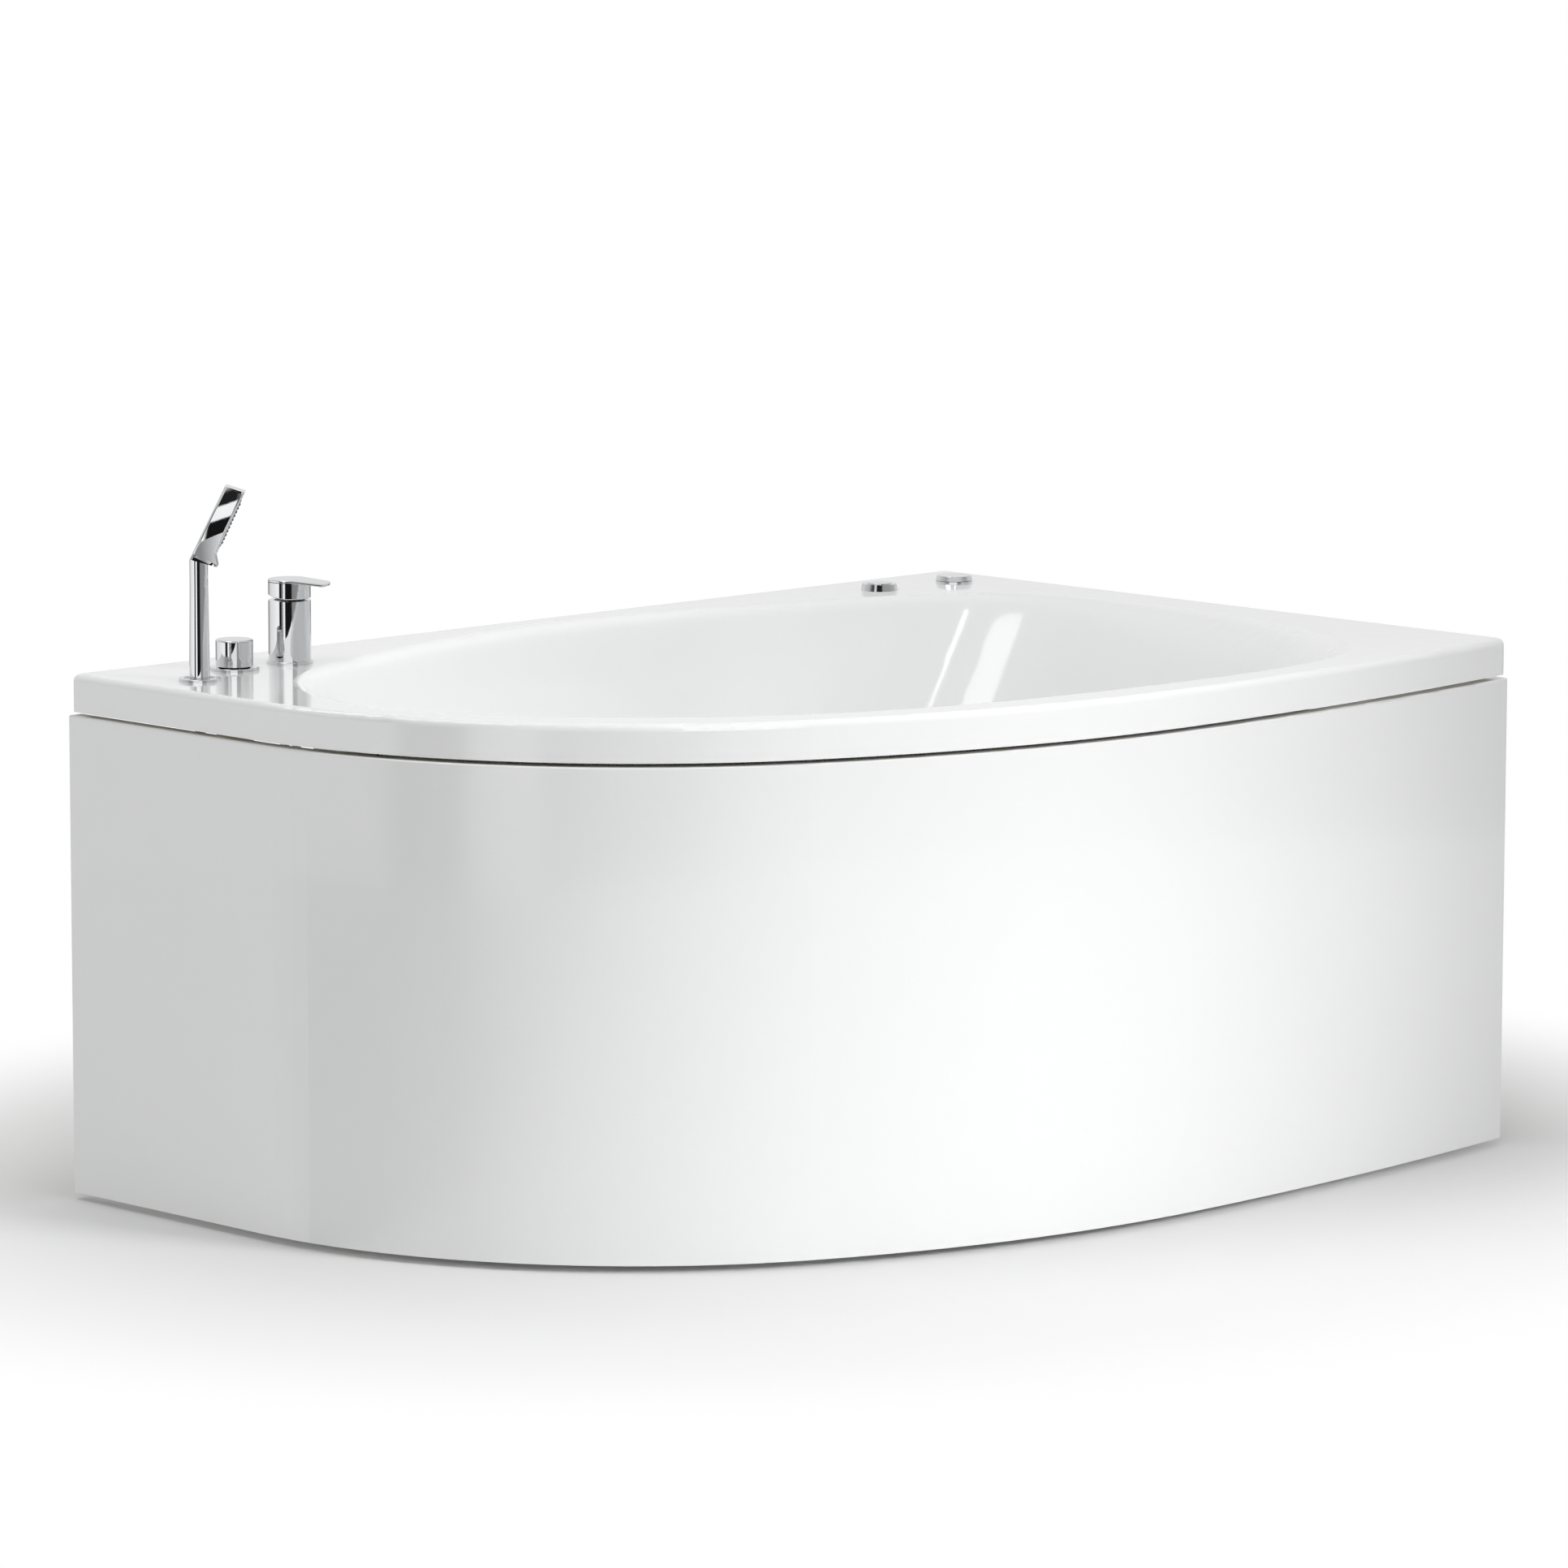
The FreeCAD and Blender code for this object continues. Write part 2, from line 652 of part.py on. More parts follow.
def front_band(outer, inner, z0, z1, wall_gap=0.0):
    """A wall that follows the curved front, between two insets."""
    outside = Part.Wire(front_curve(outer, wall_gap))
    inside = Part.Wire(front_curve(inner, wall_gap))
    left_end = Part.makeLine(Vector(LEFT + outer, BACK - wall_gap, 0),
                             Vector(LEFT + inner, BACK - wall_gap, 0))
    right_end = Part.makeLine(on_bow(outer, RIGHT - wall_gap), on_bow(inner, RIGHT - wall_gap))
    edges = outside.Edges + inside.Edges + [left_end, right_end]
    wire = Part.Wire(Part.__sortEdges__(edges))
    band = Part.Face(wire).extrude(Vector(0, 0, z1 - z0))
    band.translate(Vector(0, 0, z0))
    return band


# ==================================================================== basin
def basin_edge_curve():
    """Closed smooth curve where the flat rim begins to roll into the basin."""
    flank_end = on_flank(RIM_FRONT, 90.0)
    points = [
        Vector(LEFT + RIM_LEFT, BACK - NOSE_BACK, 0),
        Vector(LEFT + TAP_DECK_NEAR[0], BACK - TAP_DECK_NEAR[1], 0),
        Vector(LEFT + TAP_DECK_FAR[0], BACK - TAP_DECK_FAR[1], 0),
        Vector(LEFT + BACK_CREST, BACK - RIM_BACK, 0),
        Vector(RIGHT - CORNER_DECK_FAR[0], BACK - CORNER_DECK_FAR[1], 0),
        Vector(RIGHT - CORNER_DECK_NEAR[0], BACK - CORNER_DECK_NEAR[1], 0),
        Vector(RIGHT - RIM_RIGHT, BACK - RIGHT_CREST, 0),
        Vector(RIGHT - BACKREST_FRONT[0], BACK - BACKREST_FRONT[1], 0),
        Vector(RIGHT - FRONT_CORNER[0], BACK - FRONT_CORNER[1], 0),
        on_bow(RIM_FRONT, RIGHT - FRONT_RIGHT),
        flank_end,
        on_turn(RIM_FRONT, TURN_ANGLE),
        on_turn(RIM_FRONT, TURN_ANGLE / 2.0),
    ]
    curve = Part.BSplineCurve()
    curve.interpolate(Points=points, PeriodicFlag=True)
    return curve


def basin_foot(point):
    """Point of the floor's outline that lies below a point of the edge."""
    crest_x = LEFT + BACK_CREST
    middle_y = BACK - NOSE_BACK
    if point.x < crest_x:
        x_share = 1 - LEFT_RUN / (crest_x - LEFT - RIM_LEFT)
    else:
        x_share = 1 - BACKREST_RUN / (RIGHT - RIM_RIGHT - crest_x)
    if point.y < middle_y:
        y_share = 1 - FRONT_RUN / (middle_y - FRONT - RIM_FRONT)
    else:
        y_share = 1 - BACK_RUN / (NOSE_BACK - RIM_BACK)
    return Vector(crest_x + x_share * (point.x - crest_x),
                  middle_y + y_share * (point.y - middle_y), 0)


def edge_tangent(point):
    """Tangent length of the edge's rounding: it grows over the backrest."""
    start = RIGHT - CORNER_DECK_FAR[0]
    along = max(0.0, min(1.0, (point.x - start) / (RIGHT - RIM_RIGHT - start)))
    toward_front = max(0.0, min(1.0, (BACK - CORNER_DECK_NEAR[1] - point.y) / NOSE_BACK))
    soft = along ** 2 * (3 - 2 * along) * toward_front ** 2 * (3 - 2 * toward_front)
    return EDGE_TANGENT + (BACKREST_TANGENT - EDGE_TANGENT) * soft


def basin_section(edge, offset):
    """Points down one upright cut of the basin, moved out by offset."""
    foot = basin_foot(edge)
    reach = (foot - edge).Length
    inward = (foot - edge).normalize()
    deep = DECK_HEIGHT - BASIN_FLOOR
    upper = edge_tangent(edge)
    slope = math.atan2(deep, reach - upper)
    upper_radius = upper / math.tan(slope / 2.0)
    foot_radius = FOOT_TANGENT / math.tan(slope / 2.0)
    points = []
    for step in range(ARC_STEPS):
        turn = slope * step / (ARC_STEPS - 1)
        along = (upper_radius - offset) * math.sin(turn)
        z = DECK_HEIGHT - upper_radius + (upper_radius - offset) * math.cos(turn)
        points.append((along, z))
    centre = reach + FOOT_TANGENT
    lower = []
    for step in range(ARC_STEPS):
        turn = slope * (1 - step / (ARC_STEPS - 1))
        along = centre - (foot_radius + offset) * math.sin(turn)
        z = BASIN_FLOOR + foot_radius - (foot_radius + offset) * math.cos(turn)
        lower.append((along, z))
    top, bottom = points[-1], lower[0]
    for step in range(1, WALL_STEPS + 1):
        share = step / (WALL_STEPS + 1)
        points.append((top[0] + share * (bottom[0] - top[0]), top[1] + share * (bottom[1] - top[1])))
    points.extend(lower)
    return [Vector(edge.x + inward.x * d, edge.y + inward.y * d, z) for d, z in points]


def basin_rings(offset):
    """Closed curves round the basin, from the rim down to its floor."""
    edges = basin_edge_curve().toShape().discretize(Number=EDGE_SAMPLES + 1)[:-1]
    sections = [basin_section(point, offset) for point in edges]
    rings = []
    for level in range(len(sections[0])):
        curve = Part.BSplineCurve()
        curve.interpolate(Points=[section[level] for section in sections], PeriodicFlag=True)
        rings.append(Part.Wire(curve.toShape()))
    return rings


def face_with_hole(outside, hole):
    return Part.makeFace([outside, hole], "Part::FaceMakerBullseye")


def rounded_block():
    """The shell's outer block, with its upright wall corners and top edge rounded."""
    low = DECK_HEIGHT - LIP_HEIGHT
    block = Part.Face(plan_wire(LIP_SETBACK, 0.0, low)).extrude(Vector(0, 0, LIP_HEIGHT))
    corners = []
    for edge in block.Edges:
        ends = [vertex.Point for vertex in edge.Vertexes]
        upright = edge.BoundBox.ZLength > LIP_HEIGHT - 1
        if upright and (abs(ends[0].x - RIGHT) < 0.01 or abs(ends[0].y - BACK) < 0.01):
            corners.append(edge)
    block = block.makeFillet(LIP_CORNER_ROUND, corners)
    top = max(block.Faces, key=lambda face: face.CenterOfMass.z)
    return block.makeFillet(LIP_TOP_ROUND, top.OuterWire.Edges)


def bath_body():
    """The moulded shell before its holes: rim, hanging lip and basin."""
    lip_bottom = DECK_HEIGHT - LIP_HEIGHT
    under_deck = DECK_HEIGHT - SHELL_WALL
    inner_rings = basin_rings(0.0)
    outer_rings = basin_rings(SHELL_WALL)
    block = rounded_block()
    top = max(block.Faces, key=lambda face: face.CenterOfMass.z)
    foot = min(block.Faces, key=lambda face: face.CenterOfMass.z)
    inside_top = plan_wire(LIP_SETBACK + SHELL_WALL, SHELL_WALL, under_deck)
    inside_foot = plan_wire(LIP_SETBACK + SHELL_WALL, SHELL_WALL, lip_bottom)
    faces = [face for face in block.Faces if not (face.isSame(top) or face.isSame(foot))]
    faces.append(face_with_hole(top.OuterWire, inner_rings[0]))
    faces.append(face_with_hole(foot.OuterWire, inside_foot))
    faces.append(face_with_hole(inside_top, outer_rings[0]))
    faces.append(Part.Face(inner_rings[-1]))
    faces.append(Part.Face(outer_rings[-1]))
    faces.extend(inside_foot.extrude(Vector(0, 0, under_deck - lip_bottom)).Faces)
    faces.extend(Part.makeLoft(inner_rings, False, False).Faces)
    faces.extend(Part.makeLoft(outer_rings, False, False).Faces)
    shell = Part.makeShell(faces)
    shell.sewShape(0.01)
    return Part.makeSolid(shell.Shells[0])


# ============================================================ derived places
UNDER_DECK = DECK_HEIGHT - SHELL_WALL
UNDER_BASIN = BASIN_FLOOR - SHELL_WALL
RAIL_TOP = UNDER_BASIN - BOARD_WALL
CROSS_TOP = RAIL_TOP - RAIL
CROSS_FOOT = CROSS_TOP - RAIL
PANEL_TOP = DECK_HEIGHT - LIP_HEIGHT - SEAM_GAP
STRIKE_HIGH = CLEAT_HEIGHT + CLEAT_THICK + STRIKE_RISE
POST_TOP = STRIKE_HIGH + STRIKE_HEIGHT + POST_SPARE
RAIL_LEFT = LEFT + RAIL_FROM_LEFT
RAIL_RIGHT = RIGHT - RAIL_FROM_RIGHT
CROSS_PLACES = (LEFT + CROSS_FROM_LEFT, RIGHT - CROSS_FROM_RIGHT)
RIB_PLACES = (LEFT + RIB_FROM_LEFT, RIGHT - RIB_FROM_RIGHT)
SCREW_PLACES = [LEFT + place for place in SCREWS_FROM_LEFT]
BRACKET_BACK_PLACES = (LEFT + BRACKET_FROM_LEFT, RIGHT - BRACKET_FROM_RIGHT)
BRACKET_SIDE_PLACE = BACK - BRACKET_FROM_BACK
JET_PLACES = [LEFT + place for place in JETS_FROM_LEFT]
MANIFOLD_LEFT = LEFT + MANIFOLD_FROM_LEFT
MANIFOLD_RIGHT = RIGHT - MANIFOLD_FROM_RIGHT
BLOWER_PLACE = RIGHT - BLOWER_FROM_RIGHT
RAIL_MIDDLE = BACK - RAIL_FROM_BACK
RAIL_LINES = (RAIL_MIDDLE - RAIL_SPREAD / 2.0, RAIL_MIDDLE + RAIL_SPREAD / 2.0)
JET_ROWS = (RAIL_MIDDLE - JET_ROW_SPREAD / 2.0, RAIL_MIDDLE + JET_ROW_SPREAD / 2.0)
MANIFOLD_LEVEL = RAIL_TOP - MANIFOLD_RADIUS - MANIFOLD_GAP
MIXER_AT = (LEFT + MIXER_FROM_LEFT, BACK - TAP_LINE)
DIVERTER_AT = (LEFT + DIVERTER_FROM_LEFT, BACK - TAP_LINE)
SHOWER_AT = (LEFT + SHOWER_FROM_LEFT, BACK - SHOWER_FROM_BACK)
TAPS = (MIXER_AT, DIVERTER_AT, SHOWER_AT)
BUTTON_AT = (RIGHT - BUTTON_FROM_RIGHT, BACK - BUTTON_FROM_BACK)
REGULATOR_AT = (RIGHT - REGULATOR_FROM_RIGHT, BACK - REGULATOR_FROM_BACK)
CONTROLS = (BUTTON_AT, REGULATOR_AT)
WASTE_AT = (LEFT + WASTE_FROM_LEFT, BACK - NOSE_BACK)
BLOWER_AT = (BLOWER_PLACE, RAIL_MIDDLE)


def overflow_place():
    """The overflow's centre on the basin's wall and the wall's slope."""
    edge = Vector(LEFT + RIM_LEFT, BACK - NOSE_BACK, 0)
    reach = (basin_foot(edge) - edge).Length
    upper = edge_tangent(edge)
    run = reach - upper
    deep = DECK_HEIGHT - BASIN_FLOOR
    x = edge.x + upper + OVERFLOW_DROP * run / deep
    return x, edge.y, DECK_HEIGHT - OVERFLOW_DROP, math.degrees(math.atan2(run, deep))


def on_wall(shape):
    """Moves a shape built along +X at the origin to the overflow's place."""
    x, y, z, lean = overflow_place()
    copy = shape.copy()
    copy.rotate(Vector(0, 0, 0), Vector(0, 1, 0), -lean)
    copy.translate(Vector(x, y, z))
    return copy


def post_face(x):
    """The y of the upright posts' faces behind the panel."""
    return front_y(0.0, x) + POST_SETBACK


def foot_places():
    places = []
    for x in CROSS_PLACES:
        places.append((x, post_face(x) + FOOT_FRONT_SETBACK))
        places.append((x, BACK - FOOT_BACK_SETBACK))
    return places


def jet_places():
    return [(x, y) for y in JET_ROWS for x in JET_PLACES]


# ============================================================== shell and frame
def tub_shell():
    body = bath_body()
    for x, y in TAPS:
        body = body.cut(rod(x, y, UNDER_DECK - 1, DECK_HEIGHT + 1, SHANK_RADIUS + HOLE_CLEARANCE))
    for x, y in CONTROLS:
        body = body.cut(rod(x, y, UNDER_DECK - 1, DECK_HEIGHT + 1,
                            CONTROL_SHANK_RADIUS + HOLE_CLEARANCE))
    for x, y in jet_places():
        body = body.cut(rod(x, y, UNDER_BASIN - 1, BASIN_FLOOR + 1, JET_STEM_RADIUS + HOLE_CLEARANCE))
    body = body.cut(rod(WASTE_AT[0], WASTE_AT[1], UNDER_BASIN - 1, BASIN_FLOOR + 1, WASTE_HOLE_RADIUS))
    body = body.cut(on_wall(bar_x(-4 * SHELL_WALL, 4 * SHELL_WALL, 0, 0, OVERFLOW_HOLE_RADIUS)))
    return body


def board_outline():
    """The basin floor's outline under the shell, moved in by the board's inset."""
    edge = basin_rings(SHELL_WALL)[-1].Edges[0]
    first, last = edge.ParameterRange
    points = []
    for step in range(BOARD_SAMPLES):
        where = first + (last - first) * step / BOARD_SAMPLES
        heading = edge.tangentAt(where)
        points.append(edge.valueAt(where) + Vector(heading.y, -heading.x, 0) * BOARD_INSET)
    curve = Part.BSplineCurve()
    curve.interpolate(Points=points, PeriodicFlag=True)
    return Part.Wire(curve.toShape())


def base_board():
    board = Part.Face(board_outline()).extrude(Vector(0, 0, -BOARD_WALL))
    x, y = WASTE_AT
    notch = WASTE_BODY_RADIUS + WASTE_NOTCH_GAP
    board = board.cut(rod(x, y, RAIL_TOP - 1, UNDER_BASIN + 1, notch))
    board = board.cut(box(LEFT, y - notch, RAIL_TOP - 1, x, y + notch, UNDER_BASIN + 1))
    for x, y in jet_places():
        board = board.cut(rod(x, y, RAIL_TOP - 1, UNDER_BASIN + 1, JET_STEM_RADIUS + HOLE_CLEARANCE))
    for x in SCREW_PLACES:
        for y in RAIL_LINES:
            board = board.cut(rod(x, y, RAIL_TOP - 1, RAIL_TOP + SCREW_BITE, SCREW_RADIUS))
    return board


def square_tube(x0, y0, z0, x1, y1, z1, wall, along):
    """A square tube, open at both ends along the named axis."""
    outside = box(x0, y0, z0, x1, y1, z1)
    grow = [-wall, -wall, -wall]
    grow["xyz".index(along)] = 1.0
    inside = box(x0 - grow[0], y0 - grow[1], z0 - grow[2], x1 + grow[0], y1 + grow[1], z1 + grow[2])
    return outside.cut(inside)


def frame_long_rails():
    rails = []
    for y in RAIL_LINES:
        rail = square_tube(RAIL_LEFT, y - RAIL / 2, CROSS_TOP, RAIL_RIGHT, y + RAIL / 2, RAIL_TOP,
                           RAIL_WALL, "x")
        for x in SCREW_PLACES:
            rail = rail.cut(rod(x, y, CROSS_TOP - 1, RAIL_TOP + 1, SCREW_RADIUS + HOLE_CLEARANCE))
        rails.append(rail)
    return Part.Compound(rails)


def frame_cross_rails():
    rails = []
    for x in CROSS_PLACES:
        rail = square_tube(x - RAIL / 2, post_face(x), CROSS_FOOT, x + RAIL / 2,
                           BACK - CROSS_BACK_GAP, CROSS_TOP, RAIL_WALL, "y")
        for foot_x, foot_y in foot_places():
            rail = rail.cut(rod(foot_x, foot_y, CROSS_FOOT - 1, CROSS_TOP + 1,
                                FOOT_ROD_RADIUS + HOLE_CLEARANCE))
        rails.append(rail)
    return Part.Compound(rails)


def board_screws():
    screws = []
    for x in SCREW_PLACES:
        for y in RAIL_LINES:
            head = rod(x, y, CROSS_TOP - SCREW_HEAD_HEIGHT, CROSS_TOP, SCREW_HEAD_RADIUS)
            thread = rod(x, y, CROSS_TOP, RAIL_TOP + SCREW_BITE, SCREW_RADIUS)
            screws.append(head.fuse(thread))
    return Part.Compound(screws)


def levelling_foot(x, y):
    pad = rod(x, y, 0.0, FOOT_PAD_HEIGHT, FOOT_PAD_RADIUS)
    pad = round_top(pad, FOOT_PAD_HEIGHT, FOOT_PAD_HEIGHT / 3.0)
    socket = rod(x, y, FOOT_PAD_HEIGHT / 2.0, FOOT_PAD_HEIGHT, FOOT_ROD_RADIUS)
    stem = rod(x, y, FOOT_PAD_HEIGHT / 2.0, FOOT_ROD_TOP, FOOT_ROD_RADIUS)
    return Part.Compound([pad.cut(socket), stem])


def foot_nuts():
    nuts = []
    bore = FOOT_ROD_RADIUS + THREAD_CLEARANCE
    for x, y in foot_places():
        nuts.append(hex_nut(x, y, CROSS_FOOT - FOOT_NUT_HEIGHT, CROSS_FOOT, FOOT_NUT_ACROSS, bore))
        nuts.append(hex_nut(x, y, CROSS_TOP, CROSS_TOP + FOOT_NUT_HEIGHT, FOOT_NUT_ACROSS, bore))
    return Part.Compound(nuts)


def wall_bracket():
    """A bracket whose back lies on the plane y = 0 and whose shelf top is z = 0."""
    half = BRACKET_WIDTH / 2.0
    hook_back = SHELL_WALL + SOFT_GAP
    shelf = box(-half, -BRACKET_SHELF, -BRACKET_WALL, half, 0, 0)
    leg = box(-half, -BRACKET_WALL, -BRACKET_DROP, half, 0, 0)
    hook = box(-half, -hook_back - BRACKET_WALL, -BRACKET_WALL, half, -hook_back, BRACKET_HOOK)
    bracket = join([shelf, leg, hook])
    for side in (-1, 1):
        bracket = bracket.cut(bar_y(side * BRACKET_HOLE_SPACING / 2, -BRACKET_WALL - 1, 1,
                                     -BRACKET_HOLE_DROP, BRACKET_HOLE_RADIUS))
    return bracket


def wall_brackets():
    level = DECK_HEIGHT - LIP_HEIGHT
    brackets = [turned(wall_bracket(), 0, x, BACK, level) for x in BRACKET_BACK_PLACES]
    brackets.append(turned(wall_bracket(), -90, RIGHT, BRACKET_SIDE_PLACE, level))
    return Part.Compound(brackets)


# ==================================================================== the panel
def near_post(x, half, z0, z1):
    """Room between the front and the middle of the bath, beside a post."""
    return box(x - half, FRONT - 1, z0, x + half, 0, z1)


def front_panel():
    skin = front_band(0.0, PANEL_WALL, FLOOR_GAP, PANEL_TOP)
    foot = front_band(0.0, PANEL_FLANGE, FLOOR_GAP, FLOOR_GAP + PANEL_WALL)
    head = front_band(0.0, PANEL_FLANGE, PANEL_TOP - PANEL_WALL, PANEL_TOP)
    panel = join([skin, foot, head])
    outline = []
    for edge in panel.Edges:
        flat = edge.BoundBox.ZLength < 0.01 and abs(edge.BoundBox.ZMax - PANEL_TOP) < 0.01
        middle = edge.valueAt((edge.FirstParameter + edge.LastParameter) / 2.0)
        outside = middle.x < LEFT + 0.01 or abs(middle.y - front_y(0.0, middle.x)) < 0.01
        if flat and outside:
            outline.append(edge)
    return panel.makeFillet(PANEL_EDGE_ROUND, outline)


def panel_battens():
    """Upright stiffeners and the two cleats that hang the panel."""
    low = FLOOR_GAP + PANEL_WALL
    high = PANEL_TOP - PANEL_WALL
    inner = front_band(PANEL_WALL, PANEL_WALL + RIB_DEPTH, low, high)
    battens = []
    centre = front_arcs()[0]
    for angle in RIB_ANGLES:
        cutter = box(-TURN_RADIUS, -RIB_WIDTH / 2, low, 0, RIB_WIDTH / 2, high)
        battens.append(inner.common(turned(cutter, angle, centre[0], centre[1])))
    for x in RIB_PLACES:
        battens.append(inner.common(near_post(x, RIB_WIDTH / 2, low, high)))
    cleat = front_band(PANEL_WALL, PANEL_WALL + CLEAT_DEPTH, CLEAT_HEIGHT,
                       CLEAT_HEIGHT + CLEAT_THICK)
    for x in CROSS_PLACES:
        battens.append(cleat.common(near_post(x, POST / 2 - 1, CLEAT_HEIGHT,
                                              CLEAT_HEIGHT + CLEAT_THICK)))
    return Part.Compound(battens)


def panel_strikes():
    strikes = []
    for z in (STRIKE_LOW, STRIKE_HIGH):
        strip = front_band(PANEL_WALL, PANEL_WALL + STRIKE_WALL, z, z + STRIKE_HEIGHT)
        for x in CROSS_PLACES:
            strikes.append(strip.common(near_post(x, STRIKE_WIDTH / 2, z, z + STRIKE_HEIGHT)))
    return Part.Compound(strikes)


def before_post(x, inset, z0, z1):
    """Fills the room between a curve behind the panel and a post's face."""
    band = front_band(inset, POST_SETBACK + POST, z0, z1)
    return band.common(box(x - POST / 2, FRONT - 1, z0, x + POST / 2, post_face(x), z1))


def panel_magnets():
    inset = PANEL_WALL + STRIKE_WALL + MAGNET_GAP
    magnets = []
    for z in (STRIKE_LOW, STRIKE_HIGH):
        for x in CROSS_PLACES:
            magnets.append(before_post(x, inset, z + MAGNET_INSET, z + STRIKE_HEIGHT - MAGNET_INSET))
    return Part.Compound(magnets)


def panel_posts():
    posts = []
    for x in CROSS_PLACES:
        face = post_face(x)
        tube = square_tube(x - POST / 2, face, CROSS_TOP, x + POST / 2, face + POST, POST_TOP,
                           RAIL_WALL, "z")
        ledge = before_post(x, PANEL_WALL + SOFT_GAP, CLEAT_HEIGHT - LEDGE_THICK, CLEAT_HEIGHT)
        posts.append(tube.fuse(ledge))
    return Part.Compound(posts)


# ============================================================== the mixer tap
def at_mixer(shape, angle=LEVER_ANGLE):
    """Moves a shape whose lever points along +X from the origin to the mixer."""
    return turned(shape, angle, MIXER_AT[0], MIXER_AT[1], DECK_HEIGHT)


def mixer_base_ring():
    disc = round_top(rod(0, 0, 0, MIXER_RING_HEIGHT, MIXER_RING_RADIUS), MIXER_RING_HEIGHT,
                     LEVER_EDGE_ROUND)
    return at_mixer(disc.cut(rod(0, 0, -1, MIXER_RING_HEIGHT + 1, SHANK_RADIUS + HOLE_CLEARANCE)))


def mixer_body():
    body = rod(0, 0, MIXER_RING_HEIGHT, MIXER_TOP, MIXER_RADIUS)
    body = body.cut(rod(0, 0, MIXER_TOP - CARTRIDGE_HEIGHT, MIXER_TOP + 1, CARTRIDGE_RADIUS))
    body = body.cut(rod(0, 0, 0, MIXER_RING_HEIGHT + SHANK_GRIP, SHANK_RADIUS))
    for side in (-1, 1):
        port = rod(0, side * SUPPLY_SPLIT / 2, 0, MIXER_TOP - CARTRIDGE_HEIGHT + 1, CARTRIDGE_PORT)
        body = body.cut(port)
    return at_mixer(body)


def mixer_cartridge():
    cartridge = rod(0, 0, MIXER_TOP - CARTRIDGE_HEIGHT, MIXER_TOP, CARTRIDGE_RADIUS)
    bore = rod(0, 0, MIXER_TOP - CARRIER_HEIGHT, MIXER_TOP + 1, CARRIER_RADIUS + RUNNING)
    cartridge = cartridge.cut(bore)
    for side in (-1, 1):
        port = rod(0, side * SUPPLY_SPLIT / 2, 0, MIXER_TOP - CARRIER_HEIGHT - CARTRIDGE_FLOOR,
                   CARTRIDGE_PORT)
        cartridge = cartridge.cut(port)
    return at_mixer(cartridge)


def mixer_carrier():
    """Turns in the cartridge and holds the tilt pin."""
    pivot = MIXER_TOP - PIVOT_DROP
    carrier = rod(0, 0, MIXER_TOP - CARRIER_HEIGHT + SOFT_GAP, MIXER_TOP, CARRIER_RADIUS)
    carrier = carrier.cut(box(-CARRIER_RADIUS, -CARRIER_SLOT / 2, pivot - CARRIER_SLOT_FOOT,
                              CARRIER_RADIUS, CARRIER_SLOT / 2, MIXER_TOP + 1))
    carrier = carrier.cut(bar_y(0, -CARRIER_RADIUS, CARRIER_RADIUS, pivot, PIVOT_RADIUS))
    pin_reach = CARRIER_RADIUS - PIVOT_INSET
    pin = bar_y(0, -pin_reach, pin_reach, pivot, PIVOT_RADIUS)
    return at_mixer(Part.Compound([carrier, pin]))


def mixer_spindle():
    pivot = MIXER_TOP - PIVOT_DROP
    spindle = rod(0, 0, pivot - SPINDLE_FOOT, MIXER_TOP + SPINDLE_TOP, SPINDLE_RADIUS)
    hole = bar_y(0, -SPINDLE_RADIUS - 1, SPINDLE_RADIUS + 1, pivot, PIVOT_RADIUS + RUNNING)
    return at_mixer(spindle.cut(hole))


def mixer_lever():
    low = MIXER_TOP + MIXER_GROOVE
    high = low + CAP_HEIGHT
    crown = high - CAP_CROWN
    tip_low = high - LEVER_DROOP - LEVER_TIP_THICK
    outline = [
        (-MIXER_RADIUS - 1, low + CAP_RELIEF),
        (0, low),
        (MIXER_RADIUS - CAP_WALL, low),
        (MIXER_RADIUS - CAP_WALL, crown),
        (LEVER_MIDDLE[0], high - LEVER_MIDDLE[1]),
        (LEVER_REACH, tip_low),
        (LEVER_REACH, high - LEVER_DROOP),
        (CAP_FLAT, high),
        (-MIXER_RADIUS - 1, high),
    ]
    half_tip = LEVER_TIP_WIDTH / 2
    tip_line = math.sqrt(LEVER_REACH ** 2 - half_tip ** 2)
    taper = (MIXER_RADIUS - half_tip) / tip_line
    end_width = MIXER_RADIUS - taper * LEVER_REACH
    arm = plan_profile([(0, -MIXER_RADIUS), (LEVER_REACH, -end_width), (LEVER_REACH, end_width),
                        (0, MIXER_RADIUS)], low, high)
    arm = arm.common(rod(0, 0, low, high, LEVER_REACH))
    arm = arm.common(side_profile(outline, MIXER_RADIUS))
    cap = rod(0, 0, low, high, MIXER_RADIUS)
    cap_side = [(-MIXER_RADIUS - 1, low + CAP_RELIEF), (0, low), (MIXER_RADIUS + 1, low),
                (MIXER_RADIUS + 1, high - LEVER_DROOP * (MIXER_RADIUS + 1 - CAP_FLAT)
                 / (LEVER_REACH - CAP_FLAT)), (CAP_FLAT, high), (-MIXER_RADIUS - 1, high)]
    cap = cap.common(side_profile(cap_side, MIXER_RADIUS + 1))
    lever = join([cap, arm])
    lever = lever.cut(rod(0, 0, low - 1, crown, MIXER_RADIUS - CAP_WALL))
    lever = lever.cut(rod(0, 0, low, MIXER_TOP + SPINDLE_TOP, SPINDLE_RADIUS))
    return at_mixer(lever)


